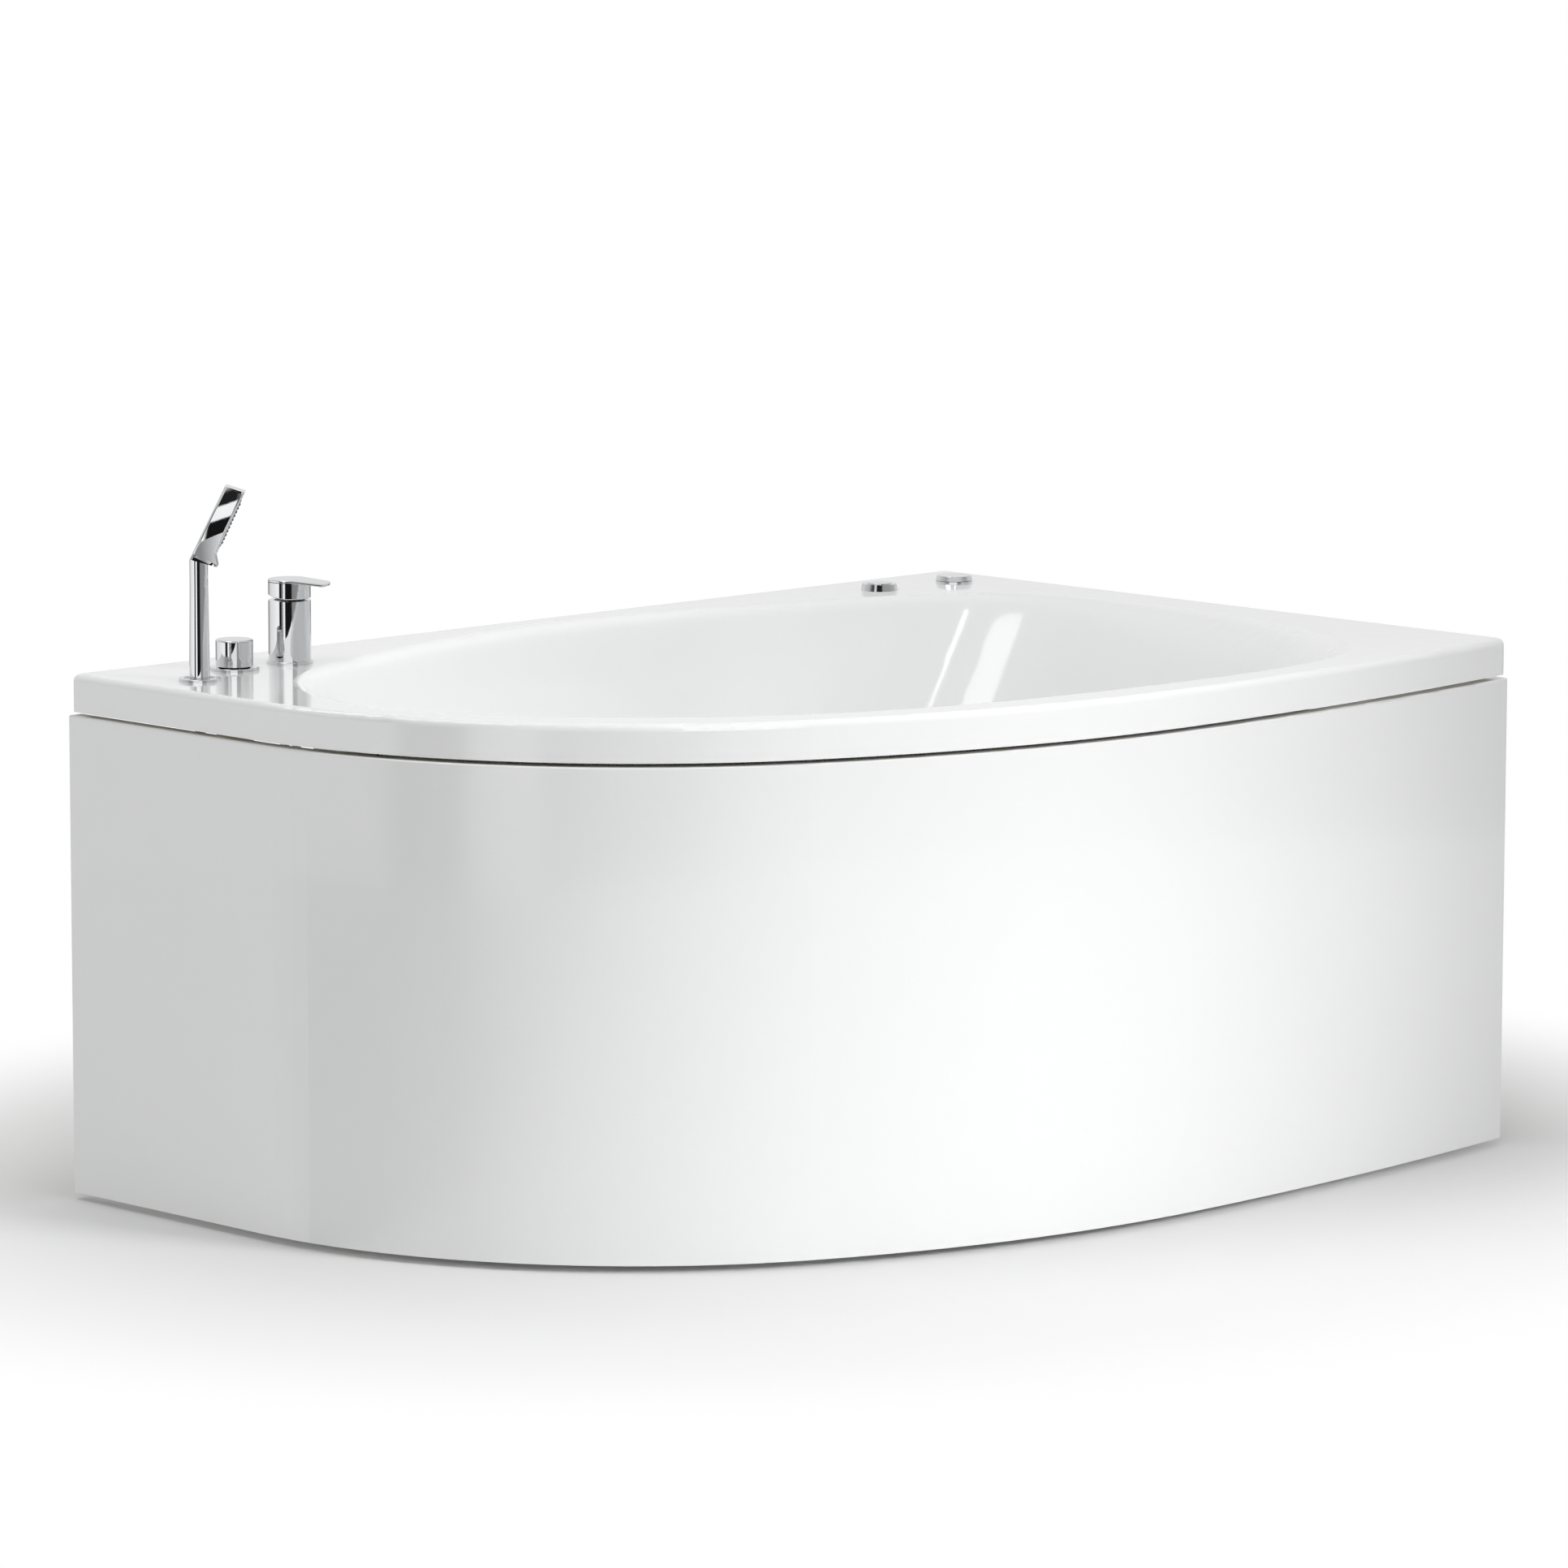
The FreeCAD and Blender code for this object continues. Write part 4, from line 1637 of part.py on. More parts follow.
def air_jets():
    jets = []
    manifold = manifold_solid()
    for x, y in jet_places():
        head = round_top(rod(x, y, BASIN_FLOOR, BASIN_FLOOR + JET_HEAD_HEIGHT, JET_HEAD_RADIUS),
                         BASIN_FLOOR + JET_HEAD_HEIGHT, JET_ROUND)
        stem = rod(x, y, MANIFOLD_LEVEL, BASIN_FLOOR, JET_STEM_RADIUS)
        jet = join([head, stem]).cut(manifold)
        jet = jet.cut(rod(x, y, MANIFOLD_LEVEL, BASIN_FLOOR, JET_BORE))
        for spoke in range(JET_HOLES):
            turn = rad(360.0 * spoke / JET_HOLES)
            hole_x = x + JET_HOLE_RING * math.cos(turn)
            hole_y = y + JET_HOLE_RING * math.sin(turn)
            jet = jet.cut(rod(hole_x, hole_y, BASIN_FLOOR - 1, BASIN_FLOOR + JET_HEAD_HEIGHT + 1,
                              JET_HOLE))
        jets.append(jet)
    return Part.Compound(jets)


def blower_housing():
    x, y = BLOWER_AT
    low = RAIL_TOP + BLOWER_BASE_WALL
    top = low + BLOWER_HEIGHT
    plate = box(x - BLOWER_BASE_LENGTH / 2, RAIL_LINES[0] - RAIL / 2, RAIL_TOP,
                x + BLOWER_BASE_LENGTH / 2, RAIL_LINES[1] + RAIL / 2, low)
    casing = round_top(rod(x, y, low, top, BLOWER_RADIUS), top, BLOWER_ROUND)
    casing = casing.cut(rod(x, y, low, top - BLOWER_WALL, BLOWER_RADIUS - BLOWER_WALL))
    slot_wide, slot_high = BLOWER_SLOT
    for step in range(BLOWER_SLOTS):
        slot = box(0, -slot_wide / 2, BLOWER_SLOT_LEVEL, BLOWER_RADIUS + 1, slot_wide / 2,
                   BLOWER_SLOT_LEVEL + slot_high)
        angle = 360.0 * (step + 0.5) / BLOWER_SLOTS
        slot = slot.cut(rod(0, 0, BLOWER_SLOT_LEVEL, BLOWER_SLOT_LEVEL + slot_high,
                            BLOWER_RADIUS - 3 * BLOWER_WALL))
        casing = casing.cut(turned(slot, angle, x, y))
    casing = casing.cut(bar_x(x - BLOWER_RADIUS - 1, x, y, BLOWER_PORT_LEVEL, BLOWER_HOSE_BORE))
    return join([plate, casing])


def blower_motor():
    x, y = BLOWER_AT
    top = RAIL_TOP + BLOWER_BASE_WALL + BLOWER_HEIGHT - BLOWER_WALL
    motor = rod(x, y, top - MOTOR_HEIGHT, top, MOTOR_RADIUS)
    return motor.cut(rod(x, y, top - MOTOR_HEIGHT - 1, top - MOTOR_HEIGHT + MOTOR_BORE_DEPTH,
                         MOTOR_SHAFT_RADIUS + RUNNING))


def blower_impeller():
    x, y = BLOWER_AT
    motor_foot = RAIL_TOP + BLOWER_BASE_WALL + BLOWER_HEIGHT - BLOWER_WALL - MOTOR_HEIGHT
    disc = rod(x, y, IMPELLER_LEVEL, IMPELLER_LEVEL + IMPELLER_THICK, IMPELLER_RADIUS)
    shaft = rod(x, y, IMPELLER_LEVEL, motor_foot + MOTOR_BORE_DEPTH - MOTOR_SHAFT_SPARE,
                MOTOR_SHAFT_RADIUS)
    hub = rod(x, y, IMPELLER_LEVEL, IMPELLER_LEVEL + IMPELLER_THICK + BLADE_HEIGHT,
              IMPELLER_HUB_RADIUS)
    blades = []
    for step in range(BLADE_COUNT):
        blade = box(BLADE_ROOT, -BLADE_WALL / 2, IMPELLER_LEVEL, IMPELLER_RADIUS - 1,
                    BLADE_WALL / 2, IMPELLER_LEVEL + IMPELLER_THICK + BLADE_HEIGHT)
        blades.append(turned(blade, 360.0 * step / BLADE_COUNT, x, y))
    return join([disc, shaft, hub] + blades)


# ======================================================================== parts
def all_parts():
    parts = {
        "tub_shell": tub_shell(),
        "base_board": base_board(),
        "frame_long_rails": frame_long_rails(),
        "frame_cross_rails": frame_cross_rails(),
        "panel_posts": panel_posts(),
        "panel_magnets": panel_magnets(),
        "foot_nuts": foot_nuts(),
        "board_screws": board_screws(),
        "wall_brackets": wall_brackets(),
        "front_panel": front_panel(),
        "panel_battens": panel_battens(),
        "panel_strikes": panel_strikes(),
        "mixer_base_ring": mixer_base_ring(),
        "mixer_body": mixer_body(),
        "mixer_cartridge": mixer_cartridge(),
        "mixer_carrier": mixer_carrier(),
        "mixer_spindle": mixer_spindle(),
        "mixer_lever": mixer_lever(),
        "mixer_shank": mixer_shank(),
        "deck_nuts": deck_nuts(),
        "deck_washers": deck_washers(),
        "mixed_water_pipe": mixed_water_pipe(),
        "supply_hoses": supply_hoses(),
        "supply_nuts": supply_nuts(),
        "diverter_flange": diverter_flange(),
        "diverter_valve": diverter_valve(),
        "diverter_knob": diverter_knob(),
        "shower_holder": shower_holder(),
        "shower_bush": shower_bush(),
        "shower_handle": shower_handle(),
        "shower_head": shower_head(),
        "shower_face": shower_face(),
        "shower_hose": shower_hose(),
        "filler_hose": filler_hose(),
        "button_bezel": button_bezel(),
        "massage_button": massage_button(),
        "button_spring": button_spring(),
        "regulator_base": regulator_base(),
        "regulator_knob": regulator_knob(),
        "pneumatic_tube": pneumatic_tube(),
        "regulator_hose": regulator_hose(),
        "overflow_knob": overflow_knob(),
        "overflow_base": overflow_base(),
        "basin_gaskets": basin_gaskets(),
        "overflow_body": overflow_body(),
        "overflow_pipe": overflow_pipe(),
        "plug_cable": plug_cable(),
        "waste_flange": waste_flange(),
        "waste_plug": waste_plug(),
        "waste_body": waste_body(),
        "drain_trap": drain_trap(),
        "air_jets": air_jets(),
        "air_manifold": air_manifold(),
        "blower_housing": blower_housing(),
        "blower_motor": blower_motor(),
        "blower_impeller": blower_impeller(),
    }
    for number, (x, y) in enumerate(foot_places(), start=1):
        parts["levelling_foot_%d" % number] = levelling_foot(x, y)
    return parts


def main():
    os.makedirs("parts", exist_ok=True)
    for name, shape in all_parts().items():
        shape.exportStep("parts/" + name + ".step")


if __name__ == "__main__":
    main()
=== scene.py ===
"""Looks of the corner bathtub: camera, finishes, hoses, mixer lever, lamps and floor.

Lengths are in metres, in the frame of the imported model.
"""
import json
import math

import bmesh
import bpy
from mathutils import Matrix, Vector


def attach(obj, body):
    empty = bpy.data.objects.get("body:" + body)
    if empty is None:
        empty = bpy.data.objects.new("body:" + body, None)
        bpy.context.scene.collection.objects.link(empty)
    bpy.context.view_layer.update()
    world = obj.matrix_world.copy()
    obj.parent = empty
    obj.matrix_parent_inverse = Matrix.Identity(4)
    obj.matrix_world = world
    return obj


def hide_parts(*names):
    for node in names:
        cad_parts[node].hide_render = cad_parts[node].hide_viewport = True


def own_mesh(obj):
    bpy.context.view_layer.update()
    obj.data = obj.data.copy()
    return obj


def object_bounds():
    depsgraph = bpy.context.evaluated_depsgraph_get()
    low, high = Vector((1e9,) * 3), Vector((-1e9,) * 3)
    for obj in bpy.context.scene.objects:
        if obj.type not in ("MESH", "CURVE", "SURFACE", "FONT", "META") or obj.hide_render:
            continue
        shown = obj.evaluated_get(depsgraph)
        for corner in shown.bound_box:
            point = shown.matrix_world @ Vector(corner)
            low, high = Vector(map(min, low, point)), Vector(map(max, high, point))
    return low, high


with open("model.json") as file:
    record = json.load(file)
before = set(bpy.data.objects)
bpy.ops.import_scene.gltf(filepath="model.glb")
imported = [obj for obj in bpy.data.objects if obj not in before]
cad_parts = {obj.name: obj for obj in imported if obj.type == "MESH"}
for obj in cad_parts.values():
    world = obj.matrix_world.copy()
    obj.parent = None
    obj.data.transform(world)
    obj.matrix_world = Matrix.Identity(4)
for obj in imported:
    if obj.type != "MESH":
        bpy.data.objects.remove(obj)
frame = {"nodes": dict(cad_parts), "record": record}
cad_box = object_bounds()
nodes = frame["nodes"]

# ------------------------------------------------------------------- camera
CAMERA_AT = Vector((-6.1828, -6.2196, 1.7565))
CAMERA_AZIMUTH = math.radians(-44.606)
CAMERA_PITCH = math.radians(8.466)
CAMERA_ROLL = math.radians(0.111)
CAMERA_LENS = 178.99               # mm, on a sensor 36 mm wide
SENSOR_WIDTH = 36.0
CAMERA_REACH = 100.0


def make_camera():
    """The camera that the photograph was taken with, as fitted to the part's outline."""
    across = Vector((math.cos(CAMERA_AZIMUTH), math.sin(CAMERA_AZIMUTH), 0))
    ahead = Vector((-math.sin(CAMERA_AZIMUTH) * math.cos(CAMERA_PITCH),
                    math.cos(CAMERA_AZIMUTH) * math.cos(CAMERA_PITCH),
                    -math.sin(CAMERA_PITCH)))
    upward = across.cross(ahead)
    right = math.cos(CAMERA_ROLL) * across + math.sin(CAMERA_ROLL) * upward
    up = math.cos(CAMERA_ROLL) * upward - math.sin(CAMERA_ROLL) * across
    data = bpy.data.cameras.new("camera")
    data.lens = CAMERA_LENS
    data.sensor_width = SENSOR_WIDTH
    data.clip_end = CAMERA_REACH
    camera = bpy.data.objects.new("camera", data)
    turn = Matrix((right, up, -ahead)).transposed().to_4x4()
    camera.matrix_world = Matrix.Translation(CAMERA_AT) @ turn
    bpy.context.scene.collection.objects.link(camera)
    bpy.context.scene.camera = camera


make_camera()

# --------------------------------------------------------- places of the part
# Heights above the floor, and where each fitting's axis stands on the plan.
DECK = 0.5965
MIXER = (-0.461, 0.375)
DIVERTER = (-0.543, 0.375)
SHOWER = (-0.631, 0.3315)
BUTTON = (0.498, 0.3895)
REGULATOR = (0.624, 0.3855)
BLOWER = (0.520, 0.008)
OVERFLOW_SIDE = -0.63023           # where the plug's cable leaves the overflow's body
CABLE_LINE = 0.0465

SHOWER_ANGLE = math.radians(-44.6)  # the way that the shower head faces
HEAD_MIDDLE = (0.0230, 0.1740)      # from the handle's axis, above the deck
HEAD_LEAN = math.radians(26.1)
HEAD_CROWN_LONG = 0.155            # radius of the head's swell along it
HEAD_CROWN_WIDE = 0.075            # and across it
HEAD_CROWN_REACH = 0.043           # how far from its middle the swell goes
HEAD_CROWN_EDGE = 0.003

PANEL_SIDE = -0.7                  # x of the panel's flat end
BEND_START = 0.080                 # y at which the sheet starts to bend
BEND_INSET = 0.0057
BEND_RUN = 0.16
BEND_EDGE = 0.0004
BEND_DEPTH = 0.03

# ------------------------------------------------------------------ materials
def surface(name, color, roughness, **sockets):
    """A material with one surface shader; sockets are set on the shader itself."""
    material = bpy.data.materials.new(name)
    material.use_nodes = True
    shader = material.node_tree.nodes["Principled BSDF"]
    shader.inputs["Base Color"].default_value = (*color, 1.0)
    shader.inputs["Roughness"].default_value = roughness
    for label, value in sockets.items():
        shader.inputs[label.replace("_", " ")].default_value = value
    return material


def place(material, stretch=(1.0, 1.0, 1.0), turn=(0.0, 0.0, 0.0)):
    """Coordinates on the part, in metres, stretched and turned."""
    tree = material.node_tree
    source = tree.nodes.new("ShaderNodeTexCoord")
    mapping = tree.nodes.new("ShaderNodeMapping")
    mapping.inputs["Scale"].default_value = stretch
    mapping.inputs["Rotation"].default_value = turn
    tree.links.new(source.outputs["Object"], mapping.inputs["Vector"])
    return mapping.outputs["Vector"]


def noise(material, vector, scale, detail=3.0, rough=0.5, distortion=0.0):
    node = material.node_tree.nodes.new("ShaderNodeTexNoise")
    node.inputs["Scale"].default_value = scale
    node.inputs["Detail"].default_value = detail
    node.inputs["Roughness"].default_value = rough
    node.inputs["Distortion"].default_value = distortion
    material.node_tree.links.new(vector, node.inputs["Vector"])
    return node.outputs["Fac"]


def cells(material, vector, scale):
    """A plain random colour for each cell of a Voronoi pattern."""
    node = material.node_tree.nodes.new("ShaderNodeTexVoronoi")
    node.inputs["Scale"].default_value = scale
    material.node_tree.links.new(vector, node.inputs["Vector"])
    return node.outputs["Color"]


def waves(material, vector, scale, distortion=0.0, direction="X"):
    node = material.node_tree.nodes.new("ShaderNodeTexWave")
    node.wave_profile = "SIN"
    node.bands_direction = direction
    node.inputs["Scale"].default_value = scale
    node.inputs["Distortion"].default_value = distortion
    material.node_tree.links.new(vector, node.inputs["Vector"])
    return node.outputs["Fac"]


def spread(material, value, low, high, start=0.0, end=1.0):
    """Maps a pattern's range start..end onto low..high."""
    node = material.node_tree.nodes.new("ShaderNodeMapRange")
    node.inputs["From Min"].default_value = start
    node.inputs["From Max"].default_value = end
    node.inputs["To Min"].default_value = low
    node.inputs["To Max"].default_value = high
    material.node_tree.links.new(value, node.inputs["Value"])
    return node.outputs["Result"]


def combined(tree, operation, first, second):
    node = tree.nodes.new("ShaderNodeMath")
    node.operation = operation
    tree.links.new(first, node.inputs[0])
    tree.links.new(second, node.inputs[1])
    return node.outputs["Value"]


def maths(material, operation, first, second):
    return combined(material.node_tree, operation, first, second)


def tones(material, value, *stops):
    """A colour ramp: stops are (position, (r, g, b))."""
    node = material.node_tree.nodes.new("ShaderNodeValToRGB")
    ramp = node.color_ramp
    while len(ramp.elements) < len(stops):
        ramp.elements.new(0.5)
    for element, (position, color) in zip(ramp.elements, stops):
        element.position = position
        element.color = (*color, 1.0)
    material.node_tree.links.new(value, node.inputs["Fac"])
    return node.outputs["Color"]


def shade(material, label, value):
    material.node_tree.links.new(value, material.node_tree.nodes["Principled BSDF"].inputs[label])


def relief(material, height, distance, strength=1.0):
    """Bump from a pattern, with its depth in metres."""
    node = material.node_tree.nodes.new("ShaderNodeBump")
    node.inputs["Strength"].default_value = strength
    node.inputs["Distance"].default_value = distance
    material.node_tree.links.new(height, node.inputs["Height"])
    shade(material, "Normal", node.outputs["Normal"])


def form_under(material, height):
    """A larger form, as a height in metres, under the relief that the material has already."""
    tree = material.node_tree
    form = tree.nodes.new("ShaderNodeBump")
    form.inputs["Strength"].default_value = 1.0
    form.inputs["Distance"].default_value = 1.0
    tree.links.new(height, form.inputs["Height"])
    tree.links.new(form.outputs["Normal"], tree.nodes["Bump"].inputs["Normal"])


def as_grey(material, color):
    node = material.node_tree.nodes.new("ShaderNodeRGBToBW")
    material.node_tree.links.new(color, node.inputs["Color"])
    return node.outputs["Val"]


def white_gloss(name, color, low, high, swell):
    """Cast or pressed acrylic sheet: deep gloss with a slow swell and a few dull patches."""
    material = surface(name, color, low, IOR=1.49, Coat_Weight=0.35, Coat_Roughness=0.03)
    vector = place(material)
    patches = noise(material, vector, 7.0, 4.0, 0.55)
    shade(material, "Roughness", spread(material, patches, low, high, 0.35, 0.7))
    tint = [channel * 0.985 for channel in color]
    cloud = noise(material, vector, 2.3, 2.0)
    shade(material, "Base Color", tones(material, cloud, (0.3, color), (0.75, tint)))
    relief(material, noise(material, vector, 46.0, 2.0, 0.4), swell)
    return material


def panel_sheet():
    """The panel's sheet, which stays flat as far as the line at which its bend starts."""
    material = white_gloss("panel_sheet", (0.88, 0.885, 0.885), 0.12, 0.2, 0.00008)
    tree = material.node_tree
    split = tree.nodes.new("ShaderNodeSeparateXYZ")
    tree.links.new(place(material), split.inputs["Vector"])
    inset = spread(material, split.outputs["X"], 0.0, BEND_DEPTH, PANEL_SIDE,
                   PANEL_SIDE + BEND_DEPTH)
    flat = spread(material, split.outputs["Y"], 0.0, 1.0, BEND_START - BEND_EDGE,
                  BEND_START + BEND_EDGE)
    filled = maths(material, "MULTIPLY", inset, flat)
    ease = spread(material, split.outputs["Y"], 0.0, BEND_INSET, BEND_START - BEND_RUN, BEND_START)
    bend = maths(material, "MULTIPLY", ease, spread(material, flat, 1.0, 0.0))
    form_under(material, maths(material, "ADD", filled, bend))
    return material


def glass_fibre():
    """Sprayed chopped strands in resin, on the shell's hidden side."""
    material = surface("glass_fibre", (0.72, 0.7, 0.62), 0.42)
    vector = place(material)
    fine = place(material, (1.0, 3.2, 1.6), (0.6, 0.3, 0.9))
    cross = place(material, (3.4, 1.0, 1.3), (0.2, 0.8, -0.5))
    strands = waves(material, fine, 55.0, 9.0)
    others = waves(material, cross, 60.0, 11.0)
    mat = maths(material, "MAXIMUM", strands, others)
    shade(material, "Base Color", tones(material, mat, (0.2, (0.6, 0.57, 0.47)),
                                        (0.7, (0.74, 0.71, 0.62)), (1.0, (0.86, 0.84, 0.78))))
    pools = noise(material, vector, 18.0, 4.0)
    shade(material, "Roughness", spread(material, pools, 0.25, 0.62))
    relief(material, maths(material, "ADD", mat, pools), 0.0007)
    return material


def chrome(name="chrome"):
    """Polished plating with the faint haze of wiped water."""
    material = surface(name, (0.66, 0.665, 0.675), 0.05, Metallic=1.0)
    vector = place(material)
    wiped = noise(material, place(material, (1.0, 1.0, 3.0)), 38.0, 5.0, 0.6, 0.4)
    shade(material, "Roughness", spread(material, wiped, 0.02, 0.085, 0.4, 0.75))
    tint = noise(material, vector, 12.0, 2.0)
    shade(material, "Base Color", tones(material, tint, (0.3, (0.69, 0.695, 0.705)),
                                        (0.8, (0.64, 0.645, 0.66))))
    relief(material, noise(material, vector, 160.0, 2.0), 0.000012)
    return material


def crowned_chrome():
    """The shower head's plating over sides that swell a little along and across it."""
    material = chrome("chrome_crowned")
    tree = material.node_tree
    turned = tree.nodes.new("ShaderNodeVectorRotate")
    turned.rotation_type = "Z_AXIS"
    turned.inputs["Center"].default_value = (*SHOWER, 0.0)
    turned.inputs["Angle"].default_value = -SHOWER_ANGLE
    tree.links.new(place(material), turned.inputs["Vector"])
    shifted = tree.nodes.new("ShaderNodeVectorMath")
    shifted.operation = "SUBTRACT"
    shifted.inputs[1].default_value = (SHOWER[0] + HEAD_MIDDLE[0], SHOWER[1],
                                       DECK + HEAD_MIDDLE[1])
    tree.links.new(turned.outputs["Vector"], shifted.inputs[0])
    leaned = tree.nodes.new("ShaderNodeVectorRotate")
    leaned.rotation_type = "Y_AXIS"
    leaned.inputs["Angle"].default_value = -HEAD_LEAN
    tree.links.new(shifted.outputs["Vector"], leaned.inputs["Vector"])
    split = tree.nodes.new("ShaderNodeSeparateXYZ")
    tree.links.new(leaned.outputs["Vector"], split.inputs["Vector"])
    along = maths(material, "MULTIPLY", split.outputs["Z"], split.outputs["Z"])
    across = maths(material, "MULTIPLY", split.outputs["X"], split.outputs["X"])
    reach = HEAD_CROWN_REACH ** 2
    crown = maths(material, "ADD",
                  spread(material, along, 0.0, -reach / (2 * HEAD_CROWN_LONG), 0.0, reach),
                  maths(material, "MULTIPLY",
                        spread(material, across, 0.0, -1.0 / (2 * HEAD_CROWN_WIDE)),
                        spread(material, split.outputs["Z"], 0.0, 1.0, -HEAD_CROWN_REACH,
                               HEAD_CROWN_EDGE - HEAD_CROWN_REACH)))
    form_under(material, crown)
    return material


def brass():
    material = surface("brass", (0.72, 0.55, 0.28), 0.28, Metallic=1.0)
    vector = place(material)
    stain = noise(material, vector, 60.0, 5.0, 0.6)
    shade(material, "Base Color", tones(material, stain, (0.3, (0.76, 0.6, 0.33)),
                                        (0.7, (0.6, 0.44, 0.21))))
    shade(material, "Roughness", spread(material, stain, 0.2, 0.42))
    turning = waves(material, vector, 900.0, 0.6, "Z")
    relief(material, turning, 0.00004)
    return material


def galvanised():
    """Zinc-dipped steel tube with its spangle and dull runs."""
    material = surface("galvanised", (0.62, 0.64, 0.66), 0.4, Metallic=1.0)
    vector = place(material)
    spangle = as_grey(material, cells(material, vector, 85.0))
    shade(material, "Base Color", tones(material, spangle, (0.2, (0.5, 0.52, 0.545)),
                                        (0.8, (0.7, 0.72, 0.74))))
    shade(material, "Roughness", spread(material, spangle, 0.28, 0.55))
    relief(material, noise(material, vector, 210.0, 4.0), 0.00006)
    return material


def zinc():
    """Bright zinc plating on fasteners and strips."""
    material = surface("zinc", (0.74, 0.75, 0.76), 0.3, Metallic=1.0)
    vector = place(material)
    haze = noise(material, vector, 90.0, 5.0, 0.65)
    shade(material, "Base Color", tones(material, haze, (0.3, (0.78, 0.79, 0.8)),
                                        (0.7, (0.66, 0.67, 0.7))))
    shade(material, "Roughness", spread(material, haze, 0.2, 0.4))
    relief(material, waves(material, vector, 700.0, 0.4, "Z"), 0.00005)
    return material


def magnet():
    material = surface("magnet", (0.09, 0.09, 0.1), 0.4, Metallic=0.6)
    vector = place(material)
    grain = noise(material, vector, 420.0, 5.0, 0.7)
    shade(material, "Base Color", tones(material, grain, (0.3, (0.07, 0.07, 0.08)),
                                        (0.75, (0.15, 0.15, 0.16))))
    shade(material, "Roughness", spread(material, grain, 0.3, 0.55))
    relief(material, grain, 0.00005)
    return material


def chipboard():
    """Pressed flakes of several woods, lightly sealed."""
    material = surface("chipboard", (0.6, 0.46, 0.3), 0.7)
    vector = place(material, (1.0, 1.0, 2.4))
    flakes = as_grey(material, cells(material, vector, 190.0))
    shade(material, "Base Color", tones(material, flakes, (0.15, (0.36, 0.25, 0.14)),
                                        (0.5, (0.58, 0.44, 0.27)), (0.85, (0.74, 0.6, 0.41))))
    fibre = noise(material, vector, 700.0, 4.0, 0.7)
    shade(material, "Roughness", spread(material, fibre, 0.6, 0.85))
    relief(material, maths(material, "ADD", flakes, fibre), 0.00025)
    return material


def moulded(name, color, low, high, depth=0.00006, scale=520.0, **sockets):
    """Moulded plastic with a fine eroded texture and slight flow marks."""
    material = surface(name, color, low, IOR=1.5, **sockets)
    vector = place(material)
    grain = noise(material, vector, scale, 4.0, 0.6)
    flow = noise(material, place(material, (1.0, 1.0, 4.0)), 9.0, 3.0, 0.5, 0.8)
    darker = [channel * 0.9 for channel in color]
    shade(material, "Base Color", tones(material, flow, (0.3, color), (0.75, darker)))
    shade(material, "Roughness", spread(material, grain, low, high))
    relief(material, grain, depth)
    return material


def rubber():
    material = surface("rubber", (0.035, 0.035, 0.037), 0.6)
    vector = place(material)
    grain = noise(material, vector, 900.0, 4.0, 0.7)
    bloom = noise(material, vector, 30.0, 4.0)
    shade(material, "Base Color", tones(material, bloom, (0.35, (0.03, 0.03, 0.032)),
                                        (0.8, (0.075, 0.075, 0.078))))
    shade(material, "Roughness", spread(material, grain, 0.5, 0.75))
    relief(material, grain, 0.00008)
    return material


def braid():
    """Two sets of steel strands that cross round the hose."""
    material = surface("braid", (0.62, 0.63, 0.65), 0.32, Metallic=1.0)
    one = waves(material, place(material, turn=(0.0, 0.9, 0.6)), 210.0, 0.3)
    two = waves(material, place(material, turn=(0.0, -0.9, -0.6)), 210.0, 0.3)
    weave = maths(material, "MAXIMUM", one, two)
    shade(material, "Base Color", tones(material, weave, (0.35, (0.16, 0.165, 0.175)),
                                        (0.75, (0.7, 0.71, 0.73))))
    shade(material, "Roughness", spread(material, weave, 0.5, 0.25))
    relief(material, weave, 0.0004)
    return material


def clear_tube():
    material = surface("clear_tube", (0.86, 0.89, 0.9), 0.12, IOR=1.45, Transmission_Weight=0.55)
    vector = place(material)
    bloom = noise(material, vector, 60.0, 4.0)
    shade(material, "Roughness", spread(material, bloom, 0.08, 0.3))
    shade(material, "Base Color", tones(material, bloom, (0.3, (0.88, 0.91, 0.92)),
                                        (0.8, (0.8, 0.84, 0.86))))
    relief(material, bloom, 0.0001)
    return material


def spring_steel():
    material = surface("spring_steel", (0.55, 0.55, 0.56), 0.3, Metallic=1.0)
    vector = place(material)
    drawn = noise(material, vector, 800.0, 4.0)
    shade(material, "Roughness", spread(material, drawn, 0.2, 0.45))
    shade(material, "Base Color", tones(material, drawn, (0.3, (0.58, 0.58, 0.6)),
                                        (0.75, (0.42, 0.42, 0.45))))
    relief(material, drawn, 0.00003)
    return material


def painted():
    """The motor's can: grey enamel over drawn steel."""
    material = surface("motor_enamel", (0.2, 0.21, 0.225), 0.35, Metallic=0.35)
    vector = place(material)
    peel = noise(material, vector, 260.0, 3.0)
    wear = noise(material, vector, 40.0, 5.0)
    shade(material, "Base Color", tones(material, wear, (0.3, (0.19, 0.2, 0.215)),
                                        (0.75, (0.25, 0.26, 0.275))))
    shade(material, "Roughness", spread(material, peel, 0.28, 0.48))
    relief(material, peel, 0.00006)
    return material


